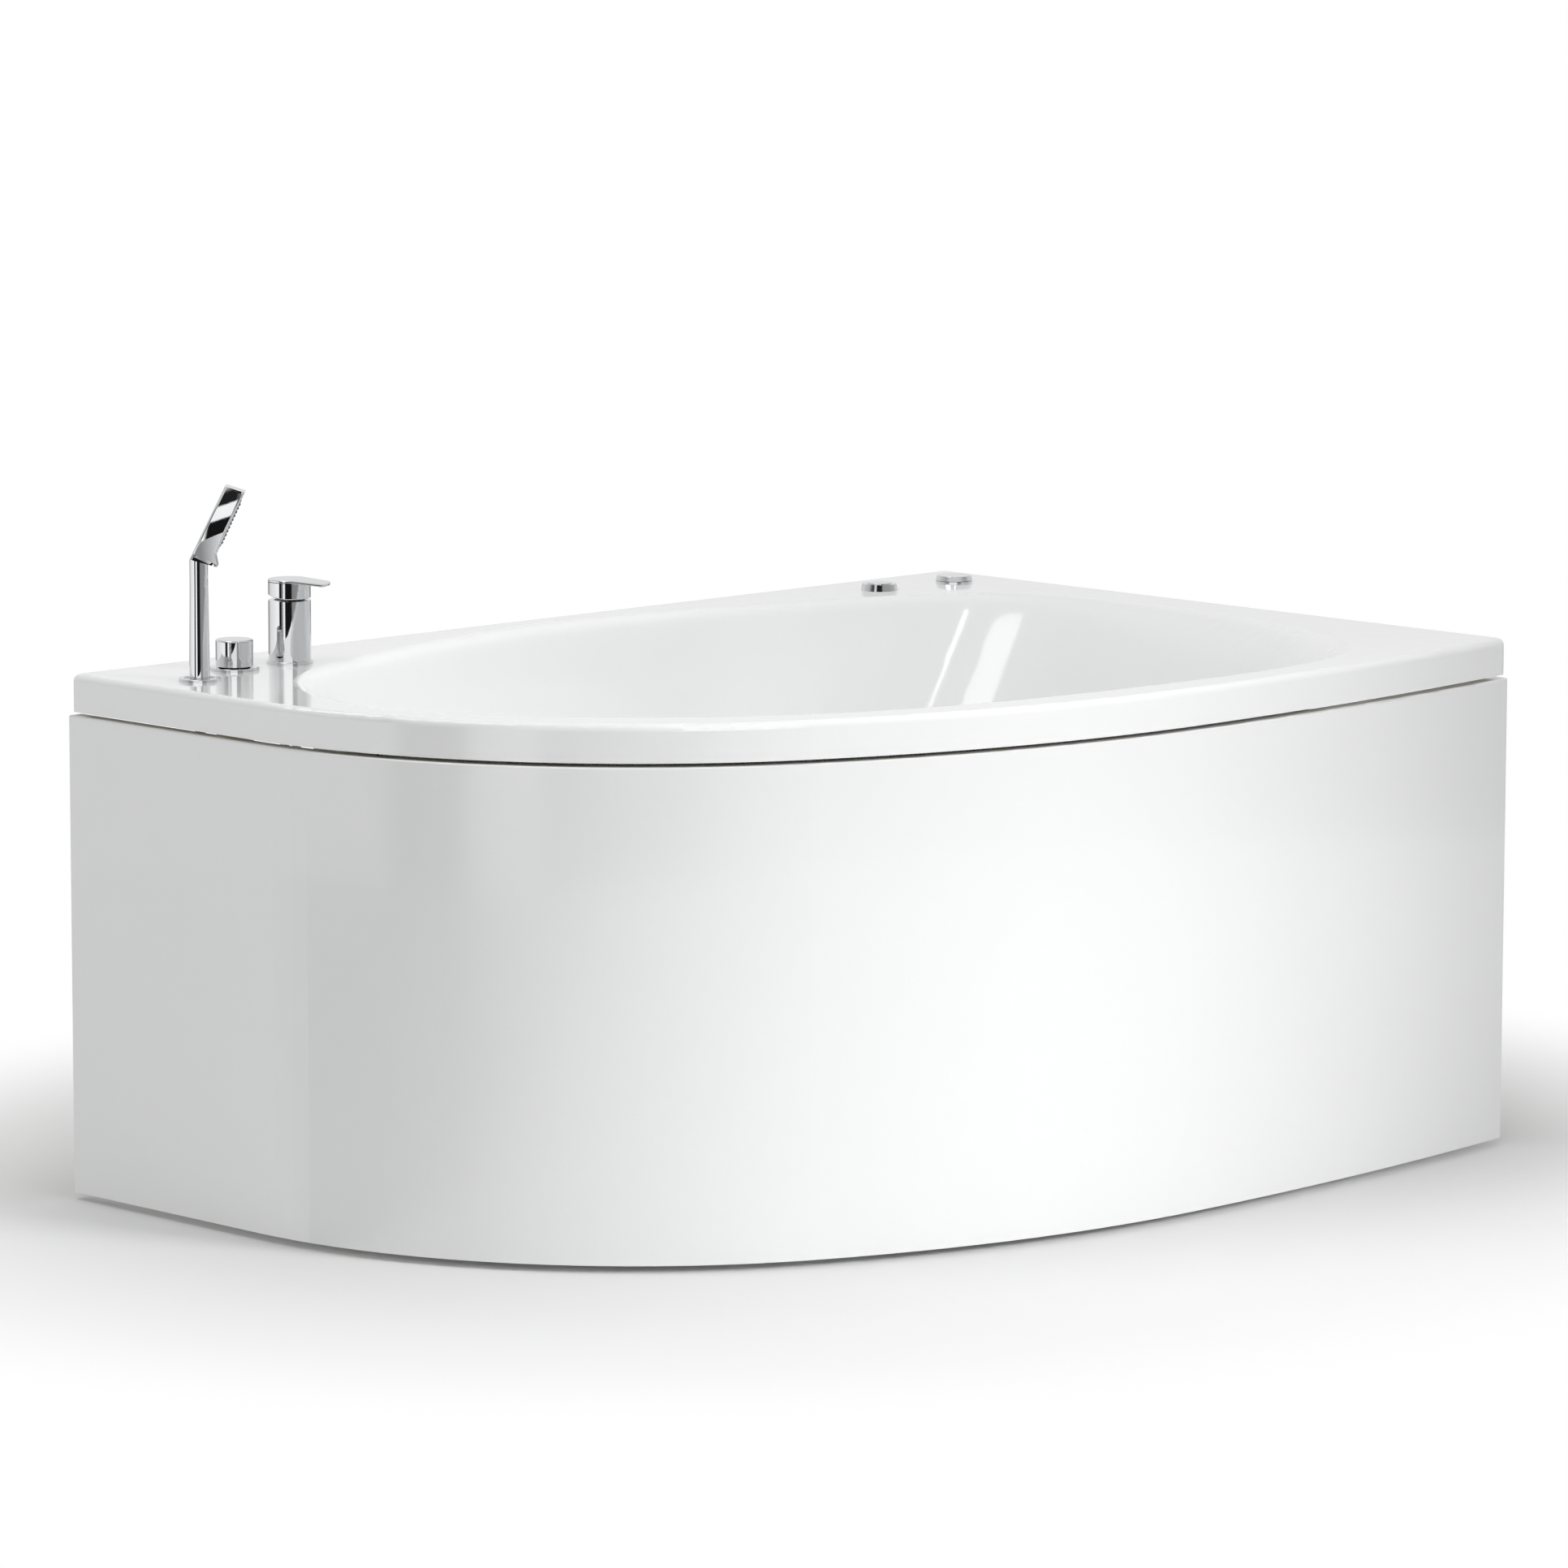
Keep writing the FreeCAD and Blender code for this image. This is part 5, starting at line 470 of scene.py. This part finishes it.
FINISHES = {
    "acrylic": white_gloss("acrylic", (0.9, 0.905, 0.905), 0.07, 0.14, 0.00006),
    "panel": panel_sheet(),
    "batten": moulded("batten_plastic", (0.72, 0.72, 0.7), 0.4, 0.6),
    "chrome": chrome(),
    "galvanised": galvanised(),
    "zinc": zinc(),
    "magnet": magnet(),
    "board": chipboard(),
    "brass": brass(),
    "seal": rubber(),
    "braid": braid(),
    "grey_hose": moulded("hose_grey", (0.42, 0.43, 0.45), 0.4, 0.6, 0.0002, 260.0),
    "clear_tube": clear_tube(),
    "drain_plastic": moulded("drain_white", (0.8, 0.8, 0.78), 0.3, 0.48),
    "cartridge": moulded("cartridge_dark", (0.06, 0.06, 0.065), 0.35, 0.55),
    "spring_steel": spring_steel(),
    "bush": moulded("bush_grey", (0.5, 0.51, 0.52), 0.35, 0.5),
    "nozzle": moulded("nozzle_grey", (0.16, 0.165, 0.175), 0.4, 0.6),
    "blower": moulded("casing_dark", (0.05, 0.052, 0.056), 0.4, 0.62, 0.00012),
    "motor": painted(),
    "impeller": moulded("impeller_dark", (0.08, 0.08, 0.085), 0.4, 0.6),
}
SHELL_BACK = glass_fibre()
HEAD_CHROME = crowned_chrome()

# ---------------------------------------------------------------------- hoses
SUPPLY_POINTS = (          # sideways from the mixer, then y and z
    (0.008, 0.375, 0.5245),
    (0.008, 0.375, 0.484),
    (0.020, 0.374, 0.428),
    (0.029, 0.373, 0.372),
    (0.030, 0.373, 0.318),
    (0.030, 0.375, 0.265),
    (0.030, 0.410, 0.230),
    (0.030, 0.4475, 0.230),
)
SHOWER_HOSE_POINTS = (     # from the shower towards the diverter, and height
    (0.0, 0.5625),
    (0.0, 0.516),
    (-0.005, 0.462),
    (-0.009, 0.414),
    (-0.009, 0.370),
    (-0.008, 0.3264),
    (0.0254, 0.293),
    (0.0726, 0.293),
    (0.106, 0.3264),
    (0.107, 0.372),
    (0.102, 0.418),
    (0.0982, 0.458),
    (0.0982, 0.4985),
)
FILLER_POINTS = (
    (-0.562, 0.375, 0.5165),
    (-0.586, 0.375, 0.5165),
    (-0.627, 0.368, 0.5165),
    (-0.658, 0.342, 0.5165),
    (-0.671, 0.303, 0.5165),
    (-0.671, 0.256, 0.5165),
    (-0.667, 0.214, 0.5165),
    (-0.655, 0.178, 0.5165),
    (-0.641, 0.146, 0.5165),
    (-0.632, 0.120, 0.5165),
    (-0.6304, 0.100, 0.5163),
)
BUTTON_TUBE_POINTS = (     # from the button towards the blower, and height
    (0.0, 0.5505),
    (0.0, 0.505),
    (0.002, 0.452),
    (0.008, 0.402),
    (0.024, 0.358),
    (0.052, 0.324),
    (0.092, 0.300),
    (0.140, 0.284),
    (0.195, 0.2755),
    (0.255, 0.2725),
    (0.3176, 0.272),
)
REGULATOR_HOSE_POINTS = (  # from the regulator towards the blower, and height
    (0.0, 0.5505),
    (0.0, 0.500),
    (0.001, 0.440),
    (0.008, 0.380),
    (0.030, 0.325),
    (0.066, 0.280),
    (0.112, 0.247),
    (0.165, 0.226),
    (0.222, 0.213),
    (0.278, 0.206),
    (0.3271, 0.205),
)
CABLE_POINTS = (           # from the overflow's body towards the waste, and height
    (0.0, 0.500),
    (0.0, 0.455),
    (0.0022, 0.400),
    (0.0062, 0.345),
    (0.0122, 0.290),
    (0.0222, 0.238),
    (0.0382, 0.194),
    (0.0642, 0.162),
    (0.1002, 0.144),
    (0.1432, 0.1365),
    (0.1852, 0.136),
)
HANDLE_HOSE = (0.4300, 0.5640)     # heights between which the hose goes up with the handle
ROUND_STEPS = 8                    # fineness of a hose round its middle and along it
CURVE_STEPS = 12
TUBE_SIDES = 40


def upright(start, end, pairs):
    """Points in the upright plane through two places, from distances and heights."""
    ahead = Vector((end[0] - start[0], end[1] - start[1])).normalized()
    return [(start[0] + ahead.x * out, start[1] + ahead.y * out, height) for out, height in pairs]


def hose(name, points, radius, finish, node):
    """A hose on one smooth curve along its route's points, from one socket to another."""
    data = bpy.data.curves.new(name, "CURVE")
    data.dimensions = "3D"
    data.bevel_depth = radius
    data.bevel_resolution = ROUND_STEPS
    data.resolution_u = CURVE_STEPS
    data.use_fill_caps = True
    spline = data.splines.new("NURBS")
    spline.points.add(len(points) - 1)
    for point, spot in zip(spline.points, points):
        point.co = (*spot, 1.0)
    spline.order_u = 3
    spline.use_endpoint_u = True
    piece = bpy.data.objects.new(name, data)
    bpy.context.scene.collection.objects.link(piece)
    data.materials.append(FINISHES[finish])
    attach(piece, "bath")
    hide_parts(node)


def straight_tube(name, at, low, high, radius, finish):
    """An upright round tube as a mesh."""
    verts = []
    faces = []
    for step in range(TUBE_SIDES):
        turn = 2 * math.pi * step / TUBE_SIDES
        x = at[0] + radius * math.cos(turn)
        y = at[1] + radius * math.sin(turn)
        verts += [(x, y, low), (x, y, high)]
        after = (step + 1) % TUBE_SIDES
        faces.append((2 * step, 2 * after, 2 * after + 1, 2 * step + 1))
    faces.append(tuple(2 * step for step in reversed(range(TUBE_SIDES))))
    faces.append(tuple(2 * step + 1 for step in range(TUBE_SIDES)))
    data = bpy.data.meshes.new(name)
    data.from_pydata(verts, [], faces)
    for face in data.polygons:
        face.use_smooth = len(face.vertices) == 4
    piece = bpy.data.objects.new(name, data)
    bpy.context.scene.collection.objects.link(piece)
    data.materials.append(FINISHES[finish])
    return piece


def make_hoses():
    """All seven, each in place of its plainer solid."""
    for side, name in ((-1, "supply_hose_left"), (1, "supply_hose_right")):
        points = [(MIXER[0] + side * out, y, z) for out, y, z in SUPPLY_POINTS]
        hose(name, points, radius=0.0055, finish="braid", node="supply_hoses")
    upper = straight_tube("shower_hose_upper", SHOWER, *HANDLE_HOSE, radius=0.0058, finish="braid")
    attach(upper, "hand_shower")
    hose("shower_hose_loop", upright(SHOWER, DIVERTER, SHOWER_HOSE_POINTS), radius=0.006,
         finish="braid", node="shower_hose")
    hose("filler_hose_run", FILLER_POINTS, radius=0.009, finish="grey_hose",
         node="filler_hose")
    hose("pneumatic_tube_run", upright(BUTTON, BLOWER, BUTTON_TUBE_POINTS), radius=0.003,
         finish="clear_tube", node="pneumatic_tube")
    hose("regulator_hose_run", upright(REGULATOR, BLOWER, REGULATOR_HOSE_POINTS), radius=0.008,
         finish="grey_hose", node="regulator_hose")
    points = [(OVERFLOW_SIDE + out, CABLE_LINE, height) for out, height in CABLE_POINTS]
    hose("plug_cable_run", points, radius=0.0025, finish="seal", node="plug_cable")


make_hoses()

# ---------------------------------------------------------------- mixer lever
LEVER_ANGLE = math.radians(-55.5)
CAP_RADIUS = 0.024
CAP_INNER = 0.020
CAP_LOW = DECK + 0.074          # lower edge
CAP_CEILING = DECK + 0.082      # of its hollow
CAP_HIGH = DECK + 0.096
CAP_RELIEF = 0.004              # how much higher its lower edge is at the back, for the tilt
RELIEF_REACH = 0.025            # distance behind the axis at which it is all of that
CAP_FLAT = 0.008                # how far from the axis the top stays level
LEVER_REACH = 0.046
LEVER_TIP_HALF = 0.018          # half of the tip's width
LEVER_DROOP = 0.0042            # from the cap's top to the tip's
PLATE_THICK = 0.0034
LEVER_EDGE = 0.0013             # width of the rounding on its edges
LEVER_EDGE_STEPS = 4
LEVER_EDGE_LEAST = math.radians(40)     # an edge that turns less isn't rounded
TIP_STEPS = 16
SIDE_STEPS = 8
CAP_STEPS = 96
SPINE = (0.0, CAP_FLAT, 0.020, 0.033)   # middle points that the top's faces fan out from
SPINE_BOUNDS = (0.004, 0.014, 0.027)


def lever_top(x):
    """Height of the lever's top at a distance along it from the mixer's axis."""
    return CAP_HIGH - LEVER_DROOP * max(0.0, x - CAP_FLAT) / (LEVER_REACH - CAP_FLAT)


def lever_outline():
    """Plan of cap and plate as one loop, counter-clockwise, from the tip's right corner."""
    tip_line = math.sqrt(LEVER_REACH ** 2 - LEVER_TIP_HALF ** 2)
    lean = math.asin((CAP_RADIUS - LEVER_TIP_HALF) / tip_line)
    tip_half_turn = math.asin(LEVER_TIP_HALF / LEVER_REACH)
    loop = []
    for step in range(TIP_STEPS + 1):
        turn = tip_half_turn * (2 * step / TIP_STEPS - 1)
        loop.append((LEVER_REACH * math.cos(turn), LEVER_REACH * math.sin(turn)))
    start = math.pi / 2 - lean
    corner = Vector(loop[-1])
    root = CAP_RADIUS * Vector((math.cos(start), math.sin(start)))
    side = [tuple(corner.lerp(root, step / SIDE_STEPS)) for step in range(1, SIDE_STEPS)]
    loop += side
    for step in range(CAP_STEPS + 1):
        turn = start + (2 * math.pi - 2 * start) * step / CAP_STEPS
        loop.append((CAP_RADIUS * math.cos(turn), CAP_RADIUS * math.sin(turn)))
    return loop + [(x, -y) for x, y in reversed(side)]


def add_plate(mesh):
    """The lever's top and underside, which fan out from points along its middle."""
    loop = lever_outline()
    upper = [mesh.verts.new((x, y, lever_top(x))) for x, y in loop]
    lower = [mesh.verts.new((x, y, lever_top(x) - PLATE_THICK)) for x, y in loop]
    above = [mesh.verts.new((x, 0.0, lever_top(x))) for x in SPINE]
    below = [mesh.verts.new((x, 0.0, lever_top(x) - PLATE_THICK)) for x in SPINE]
    for step in range(len(loop)):
        after = (step + 1) % len(loop)
        here, there = (sum(loop[index][0] >= bound for bound in SPINE_BOUNDS)
                       for index in (step, after))
        mesh.faces.new((lower[step], lower[after], upper[after], upper[step]))
        mesh.faces.new((above[here], upper[step], upper[after]))
        mesh.faces.new((below[here], lower[after], lower[step]))
        if here != there:
            mesh.faces.new((above[here], upper[after], above[there]))
            mesh.faces.new((below[here], below[there], lower[after]))


def add_cap(mesh):
    """The cap's wall and the hollow under it."""
    def under_plate(x):
        return lever_top(x) - PLATE_THICK

    def edge(x):
        return CAP_LOW + CAP_RELIEF * max(0.0, -x) / RELIEF_REACH

    rings = []
    for radius, height in ((CAP_RADIUS, under_plate), (CAP_RADIUS, edge), (CAP_INNER, edge),
                           (CAP_INNER, lambda x: CAP_CEILING)):
        ring = []
        for step in range(CAP_STEPS):
            turn = 2 * math.pi * step / CAP_STEPS
            x, y = radius * math.cos(turn), radius * math.sin(turn)
            ring.append(mesh.verts.new((x, y, height(x))))
        rings.append(ring)
    for first, second in zip(rings, rings[1:]):
        for step in range(CAP_STEPS):
            after = (step + 1) % CAP_STEPS
            mesh.faces.new((first[after], first[step], second[step], second[after]))
    mesh.faces.new(list(reversed(rings[-1])))


def make_lever():
    """Cap and thin sloping plate of the mixer, in place of the plainer solid."""
    mesh = bmesh.new()
    add_plate(mesh)
    add_cap(mesh)
    bmesh.ops.recalc_face_normals(mesh, faces=mesh.faces)
    data = bpy.data.meshes.new("mixer_lever_formed")
    mesh.to_mesh(data)
    mesh.free()
    for face in data.polygons:
        face.use_smooth = True
    lever = bpy.data.objects.new("mixer_lever_formed", data)
    lever.location = (*MIXER, 0.0)
    lever.rotation_euler = (0.0, 0.0, LEVER_ANGLE)
    bpy.context.scene.collection.objects.link(lever)
    round_off = lever.modifiers.new("round_off", "BEVEL")
    round_off.width = LEVER_EDGE
    round_off.segments = LEVER_EDGE_STEPS
    round_off.limit_method = "ANGLE"
    round_off.angle_limit = LEVER_EDGE_LEAST
    round_off.harden_normals = True
    data.materials.append(FINISHES["chrome"])
    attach(lever, "mixer_lever")
    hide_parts("mixer_lever")


make_lever()


def make_spring():
    """The button's coil as a piece of its own."""
    node = nodes["button_spring"]
    coil = bpy.data.objects.new("button_spring_coil", node.data.copy())
    coil.matrix_world = node.matrix_world.copy()
    bpy.context.scene.collection.objects.link(coil)
    coil.data.materials.clear()
    coil.data.materials.append(FINISHES["spring_steel"])
    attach(coil, "bath")
    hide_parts("button_spring")
    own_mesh(coil)


make_spring()


# ------------------------------------------------------- finishes on the nodes
CORNER_STEP = 1e-5              # corners that round to the same step are one
LEVEL = 0.999                   # least upward part of a level face's normal
DECK_MARGIN = 1e-4
SOFT_EDGE = 0.5                 # least cosine between faces whose common edge isn't sharp


def show_side(mesh):
    """Faces reached from the deck's top without crossing a sharp edge."""
    def spot(index):
        return tuple(round(c / CORNER_STEP) for c in mesh.vertices[index].co)

    spots = [spot(index) for index in range(len(mesh.vertices))]
    beside = {}
    for face in mesh.polygons:
        loop = [spots[index] for index in face.vertices]
        for here, after in zip(loop, loop[1:] + loop[:1]):
            if here != after:
                beside.setdefault(frozenset((here, after)), []).append(face.index)
    around = {}
    for faces in beside.values():
        for face in faces:
            around.setdefault(face, set()).update(other for other in faces if other != face)
    todo = [face.index for face in mesh.polygons
            if face.normal.z > LEVEL and abs(face.center.z - DECK) < DECK_MARGIN]
    reached = set(todo)
    while todo:
        here = todo.pop()
        for other in around.get(here, ()):
            if other not in reached:
                if mesh.polygons[here].normal.dot(mesh.polygons[other].normal) > SOFT_EDGE:
                    reached.add(other)
                    todo.append(other)
    return reached


def dress_nodes():
    """Every node's surfaces take the finish of the record's slot for it."""
    for row in frame["record"]["subparts"]:
        node = nodes[row["node"]]
        node.data.materials.clear()
        node.data.materials.append(FINISHES[row["material_slot"]])
    nodes["shower_head"].data.materials[0] = HEAD_CHROME
    shell = nodes["tub_shell"].data
    shell.materials.append(SHELL_BACK)
    shown = show_side(shell)
    for face in shell.polygons:
        face.material_index = 0 if face.index in shown else 1


dress_nodes()

# -------------------------------------------------------------------- studio
WHITE = (1.0, 1.0, 1.0, 1.0)
AMBIENT_LEVEL = 0.62             # light that comes from around, near the horizon
AMBIENT_ABOVE = 0.36             # and from above
AMBIENT_RISE = (0.25, 0.75)      # upward part of a direction where the change starts and ends
FLOOR_RADIUS = 3.2
FLOOR_SIDES = 96
FLOOR_DROP = 0.0005              # below the part's lowest point
FLOOR_COLOR = (0.88, 0.88, 0.88)
FLOOR_ROUGHNESS = 0.8
FLOOR_MIDDLE = (-0.02, -0.08, 0.0)
FLOOR_SHAPE = (0.88, 1.0, 1.0)
FLOOR_FADE = (0.70, 1.25)        # distances at which the lit floor turns into plain white
OVERHEAD = (0.8, 0.8, 0.8, 1.0)  # what metal sees straight above
# Tones that metal sees around the object, by degrees from the camera's side, counter-clockwise
# from above: in a ring below the horizon, in one above it, and in one that is higher still.
AROUND_LOW = ((-180, 0.4), (-142, 0.35), (-126, 0.95), (-56, 1.3), (-52, 0.02), (-39, 0.02),
              (-36, 1.4), (-23, 1.4), (-19, 0.01), (14, 0.01), (18, 0.3), (60, 0.36),
              (100, 0.22), (140, 0.2), (180, 0.4))
AROUND_MIDDLE = ((-180, 0.86), (-120, 0.85), (-70, 0.5), (-50, 0.06), (-36, 0.06), (-30, 1.1),
                 (-20, 1.3), (16, 1.3), (20, 0.03), (40, 0.03), (46, 0.5), (90, 0.4),
                 (130, 0.8), (180, 0.86))
AROUND_HIGH = ((-180, 0.9), (-120, 0.85), (-70, 0.55), (-50, 0.1), (-36, 0.1), (-30, 0.9),
               (-22, 0.9), (-16, 0.02), (14, 0.02), (24, 0.4), (80, 0.45), (120, 0.85),
               (180, 0.9))
# Upward parts of a direction between which each ring turns into the one above it.
LOW_TO_MIDDLE = (-0.03, 0.01)
MIDDLE_TO_HIGH = (0.19, 0.23)
HIGH_TO_OVERHEAD = (0.38, 0.5)
# What a gloss surface sees of the floor, by degrees about the line where the bend starts.
FLOOR_AROUND = ((-180, 0.35), (-166, 0.35), (-132, 0.95), (-60, 0.95), (-28, 0.9), (-20, 0.5),
                (20, 0.5), (60, 1.0), (136, 1.0), (143, 0.35), (180, 0.35))
# Name, place, point it is turned to, size, watts, degrees of spread, and whether metal sees it.
# The box and the strip make the bright streaks on the basin's wall.
LAMPS = (("key", (0.70, -3.6, 1.7), (-0.42, -0.42, 0.20), (1.0, 1.4), 5.8, 44.0, False),
         ("top", (0.15, 0.15, 3.6), (0.1, 0.1, 0.4), (2.4, 2.0), 30.0, 180.0, False),
         ("box", (-1.55, 0.40, 2.75), (0.54, 0.23, 0.53), (1.3, 0.66), 10.0, 180.0, True),
         ("strip", (-0.85, -1.42, 2.62), (0.52, 0.26, 0.50), (0.17, 0.42), 1.7, 180.0, True))


def ring_of_tones(tree, vector, tones_around):
    """Greys that change with the direction of a vector on the plan."""
    angle = tree.nodes.new("ShaderNodeTexGradient")
    angle.gradient_type = "RADIAL"
    tree.links.new(vector, angle.inputs["Vector"])
    node = tree.nodes.new("ShaderNodeValToRGB")
    ramp = node.color_ramp
    while len(ramp.elements) < len(tones_around):
        ramp.elements.new(0.5)
    for element, (degrees, tone) in zip(ramp.elements, tones_around):
        element.position = (degrees + 180) / 360
        element.color = (tone, tone, tone, 1.0)
    tree.links.new(angle.outputs["Fac"], node.inputs["Fac"])
    return node.outputs["Color"]


def blended(tree, factor, first, second):
    """The first colour where the factor is 0, the second where it is 1."""
    node = tree.nodes.new("ShaderNodeMix")
    node.data_type = "RGBA"
    sockets = {entry.identifier: entry for entry in node.inputs}
    tree.links.new(factor, sockets["Factor_Float"])
    tree.links.new(first, sockets["A_Color"])
    if isinstance(second, tuple):
        sockets["B_Color"].default_value = second
    else:
        tree.links.new(second, sockets["B_Color"])
    return next(entry for entry in node.outputs if entry.identifier == "Result_Color")


def eased(tree, value, low, high):
    """0 below the low value, 1 above the high one, and smooth between them."""
    node = tree.nodes.new("ShaderNodeMapRange")
    node.interpolation_type = "SMOOTHSTEP"
    node.inputs["From Min"].default_value = low
    node.inputs["From Max"].default_value = high
    tree.links.new(value, node.inputs["Value"])
    return node.outputs["Result"]


def either(tree, first, second):
    return combined(tree, "MAXIMUM", first, second)


def both(tree, first, second):
    return combined(tree, "MULTIPLY", first, second)


def mixed(tree, factor, first, second):
    """The first shader where the factor is 0, the second where it is 1."""
    node = tree.nodes.new("ShaderNodeMixShader")
    tree.links.new(factor, node.inputs[0])
    tree.links.new(first, node.inputs[1])
    tree.links.new(second, node.inputs[2])
    return node.outputs["Shader"]


def make_world():
    """White to the camera, even and soft to the object, a room with dark parts to metal."""
    world = bpy.data.worlds.new("studio")
    world.use_nodes = True
    tree = world.node_tree
    tree.nodes.clear()
    path = tree.nodes.new("ShaderNodeLightPath").outputs
    source = tree.nodes.new("ShaderNodeTexCoord")
    mapping = tree.nodes.new("ShaderNodeMapping")
    mapping.inputs["Rotation"].default_value = (0.0, 0.0, math.pi / 2 - CAMERA_AZIMUTH)
    tree.links.new(source.outputs["Generated"], mapping.inputs["Vector"])
    around = mapping.outputs["Vector"]
    split = tree.nodes.new("ShaderNodeSeparateXYZ")
    tree.links.new(source.outputs["Generated"], split.inputs["Vector"])
    upward = split.outputs["Z"]

    room = ring_of_tones(tree, around, AROUND_LOW)
    for change, above in ((LOW_TO_MIDDLE, ring_of_tones(tree, around, AROUND_MIDDLE)),
                          (MIDDLE_TO_HIGH, ring_of_tones(tree, around, AROUND_HIGH)),
                          (HIGH_TO_OVERHEAD, OVERHEAD)):
        room = blended(tree, eased(tree, upward, *change), room, above)
    studio = tree.nodes.new("ShaderNodeBackground")
    tree.links.new(room, studio.inputs["Color"])

    level = tree.nodes.new("ShaderNodeMapRange")
    level.inputs["From Min"].default_value, level.inputs["From Max"].default_value = AMBIENT_RISE
    level.inputs["To Min"].default_value = AMBIENT_LEVEL
    level.inputs["To Max"].default_value = AMBIENT_ABOVE
    tree.links.new(upward, level.inputs["Value"])
    soft = tree.nodes.new("ShaderNodeBackground")
    soft.inputs["Color"].default_value = WHITE
    tree.links.new(level.outputs["Result"], soft.inputs["Strength"])

    white = tree.nodes.new("ShaderNodeBackground")
    white.inputs["Color"].default_value = WHITE
    to_metal = either(tree, path["Is Glossy Ray"], path["Is Transmission Ray"])
    lit = mixed(tree, to_metal, soft.outputs["Background"], studio.outputs["Background"])
    seen = mixed(tree, path["Is Camera Ray"], lit, white.outputs["Background"])
    out = tree.nodes.new("ShaderNodeOutputWorld")
    tree.links.new(seen, out.inputs["Surface"])
    bpy.context.scene.world = world


def area_lamp(name, at, aim, size, power, spread, mirrored):
    data = bpy.data.lights.new(name, "AREA")
    data.shape = "RECTANGLE"
    data.size, data.size_y = size
    data.energy = power
    data.spread = math.radians(spread)
    lamp = bpy.data.objects.new(name, data)
    lamp.location = at
    lamp.rotation_euler = (Vector(aim) - Vector(at)).to_track_quat("-Z", "Y").to_euler()
    lamp.visible_glossy = mirrored
    bpy.context.scene.collection.objects.link(lamp)


def make_floor():
    """A round pale floor that keeps the shadow and fades into the white behind it."""
    rim = []
    for step in range(FLOOR_SIDES):
        turn = 2 * math.pi * step / FLOOR_SIDES
        rim.append((FLOOR_RADIUS * math.cos(turn), FLOOR_RADIUS * math.sin(turn), 0.0))
    data = bpy.data.meshes.new("floor")
    data.from_pydata(rim, [], [tuple(range(FLOOR_SIDES))])
    floor = bpy.data.objects.new("floor", data)
    floor.location.z = cad_box[0][2] - FLOOR_DROP
    bpy.context.scene.collection.objects.link(floor)

    material = surface("floor", FLOOR_COLOR, FLOOR_ROUGHNESS, Specular_IOR_Level=0.0)
    tree = material.node_tree
    path = tree.nodes.new("ShaderNodeLightPath").outputs
    source = tree.nodes.new("ShaderNodeTexCoord")
    middle = tree.nodes.new("ShaderNodeMapping")
    middle.inputs["Location"].default_value = FLOOR_MIDDLE
    middle.inputs["Scale"].default_value = FLOOR_SHAPE
    tree.links.new(source.outputs["Object"], middle.inputs["Vector"])
    away = tree.nodes.new("ShaderNodeVectorMath")
    away.operation = "LENGTH"
    tree.links.new(middle.outputs["Vector"], away.inputs[0])
    far = eased(tree, away.outputs["Value"], *FLOOR_FADE)
    seen = either(tree, path["Is Camera Ray"], path["Is Glossy Ray"])
    plain_part = both(tree, either(tree, far, path["Is Glossy Ray"]), seen)

    about = tree.nodes.new("ShaderNodeVectorMath")
    about.operation = "SUBTRACT"
    about.inputs[1].default_value = (PANEL_SIDE, BEND_START, 0.0)
    tree.links.new(source.outputs["Object"], about.inputs[0])
    mirrored = ring_of_tones(tree, about.outputs["Vector"], FLOOR_AROUND)
    plain = tree.nodes.new("ShaderNodeEmission")
    tree.links.new(blended(tree, path["Is Camera Ray"], mirrored, WHITE), plain.inputs["Color"])
    lit = tree.nodes["Principled BSDF"].outputs["BSDF"]
    top = mixed(tree, plain_part, lit, plain.outputs["Emission"])

    back = tree.nodes.new("ShaderNodeNewGeometry").outputs["Backfacing"]
    clear = tree.nodes.new("ShaderNodeBsdfTransparent").outputs["BSDF"]
    whole = mixed(tree, both(tree, back, path["Is Camera Ray"]), top, clear)
    tree.links.new(whole, tree.nodes["Material Output"].inputs["Surface"])
    data.materials.append(material)


make_world()
make_floor()
for lamp in LAMPS:
    area_lamp(*lamp)

bpy.context.scene.view_settings.view_transform = "Standard"
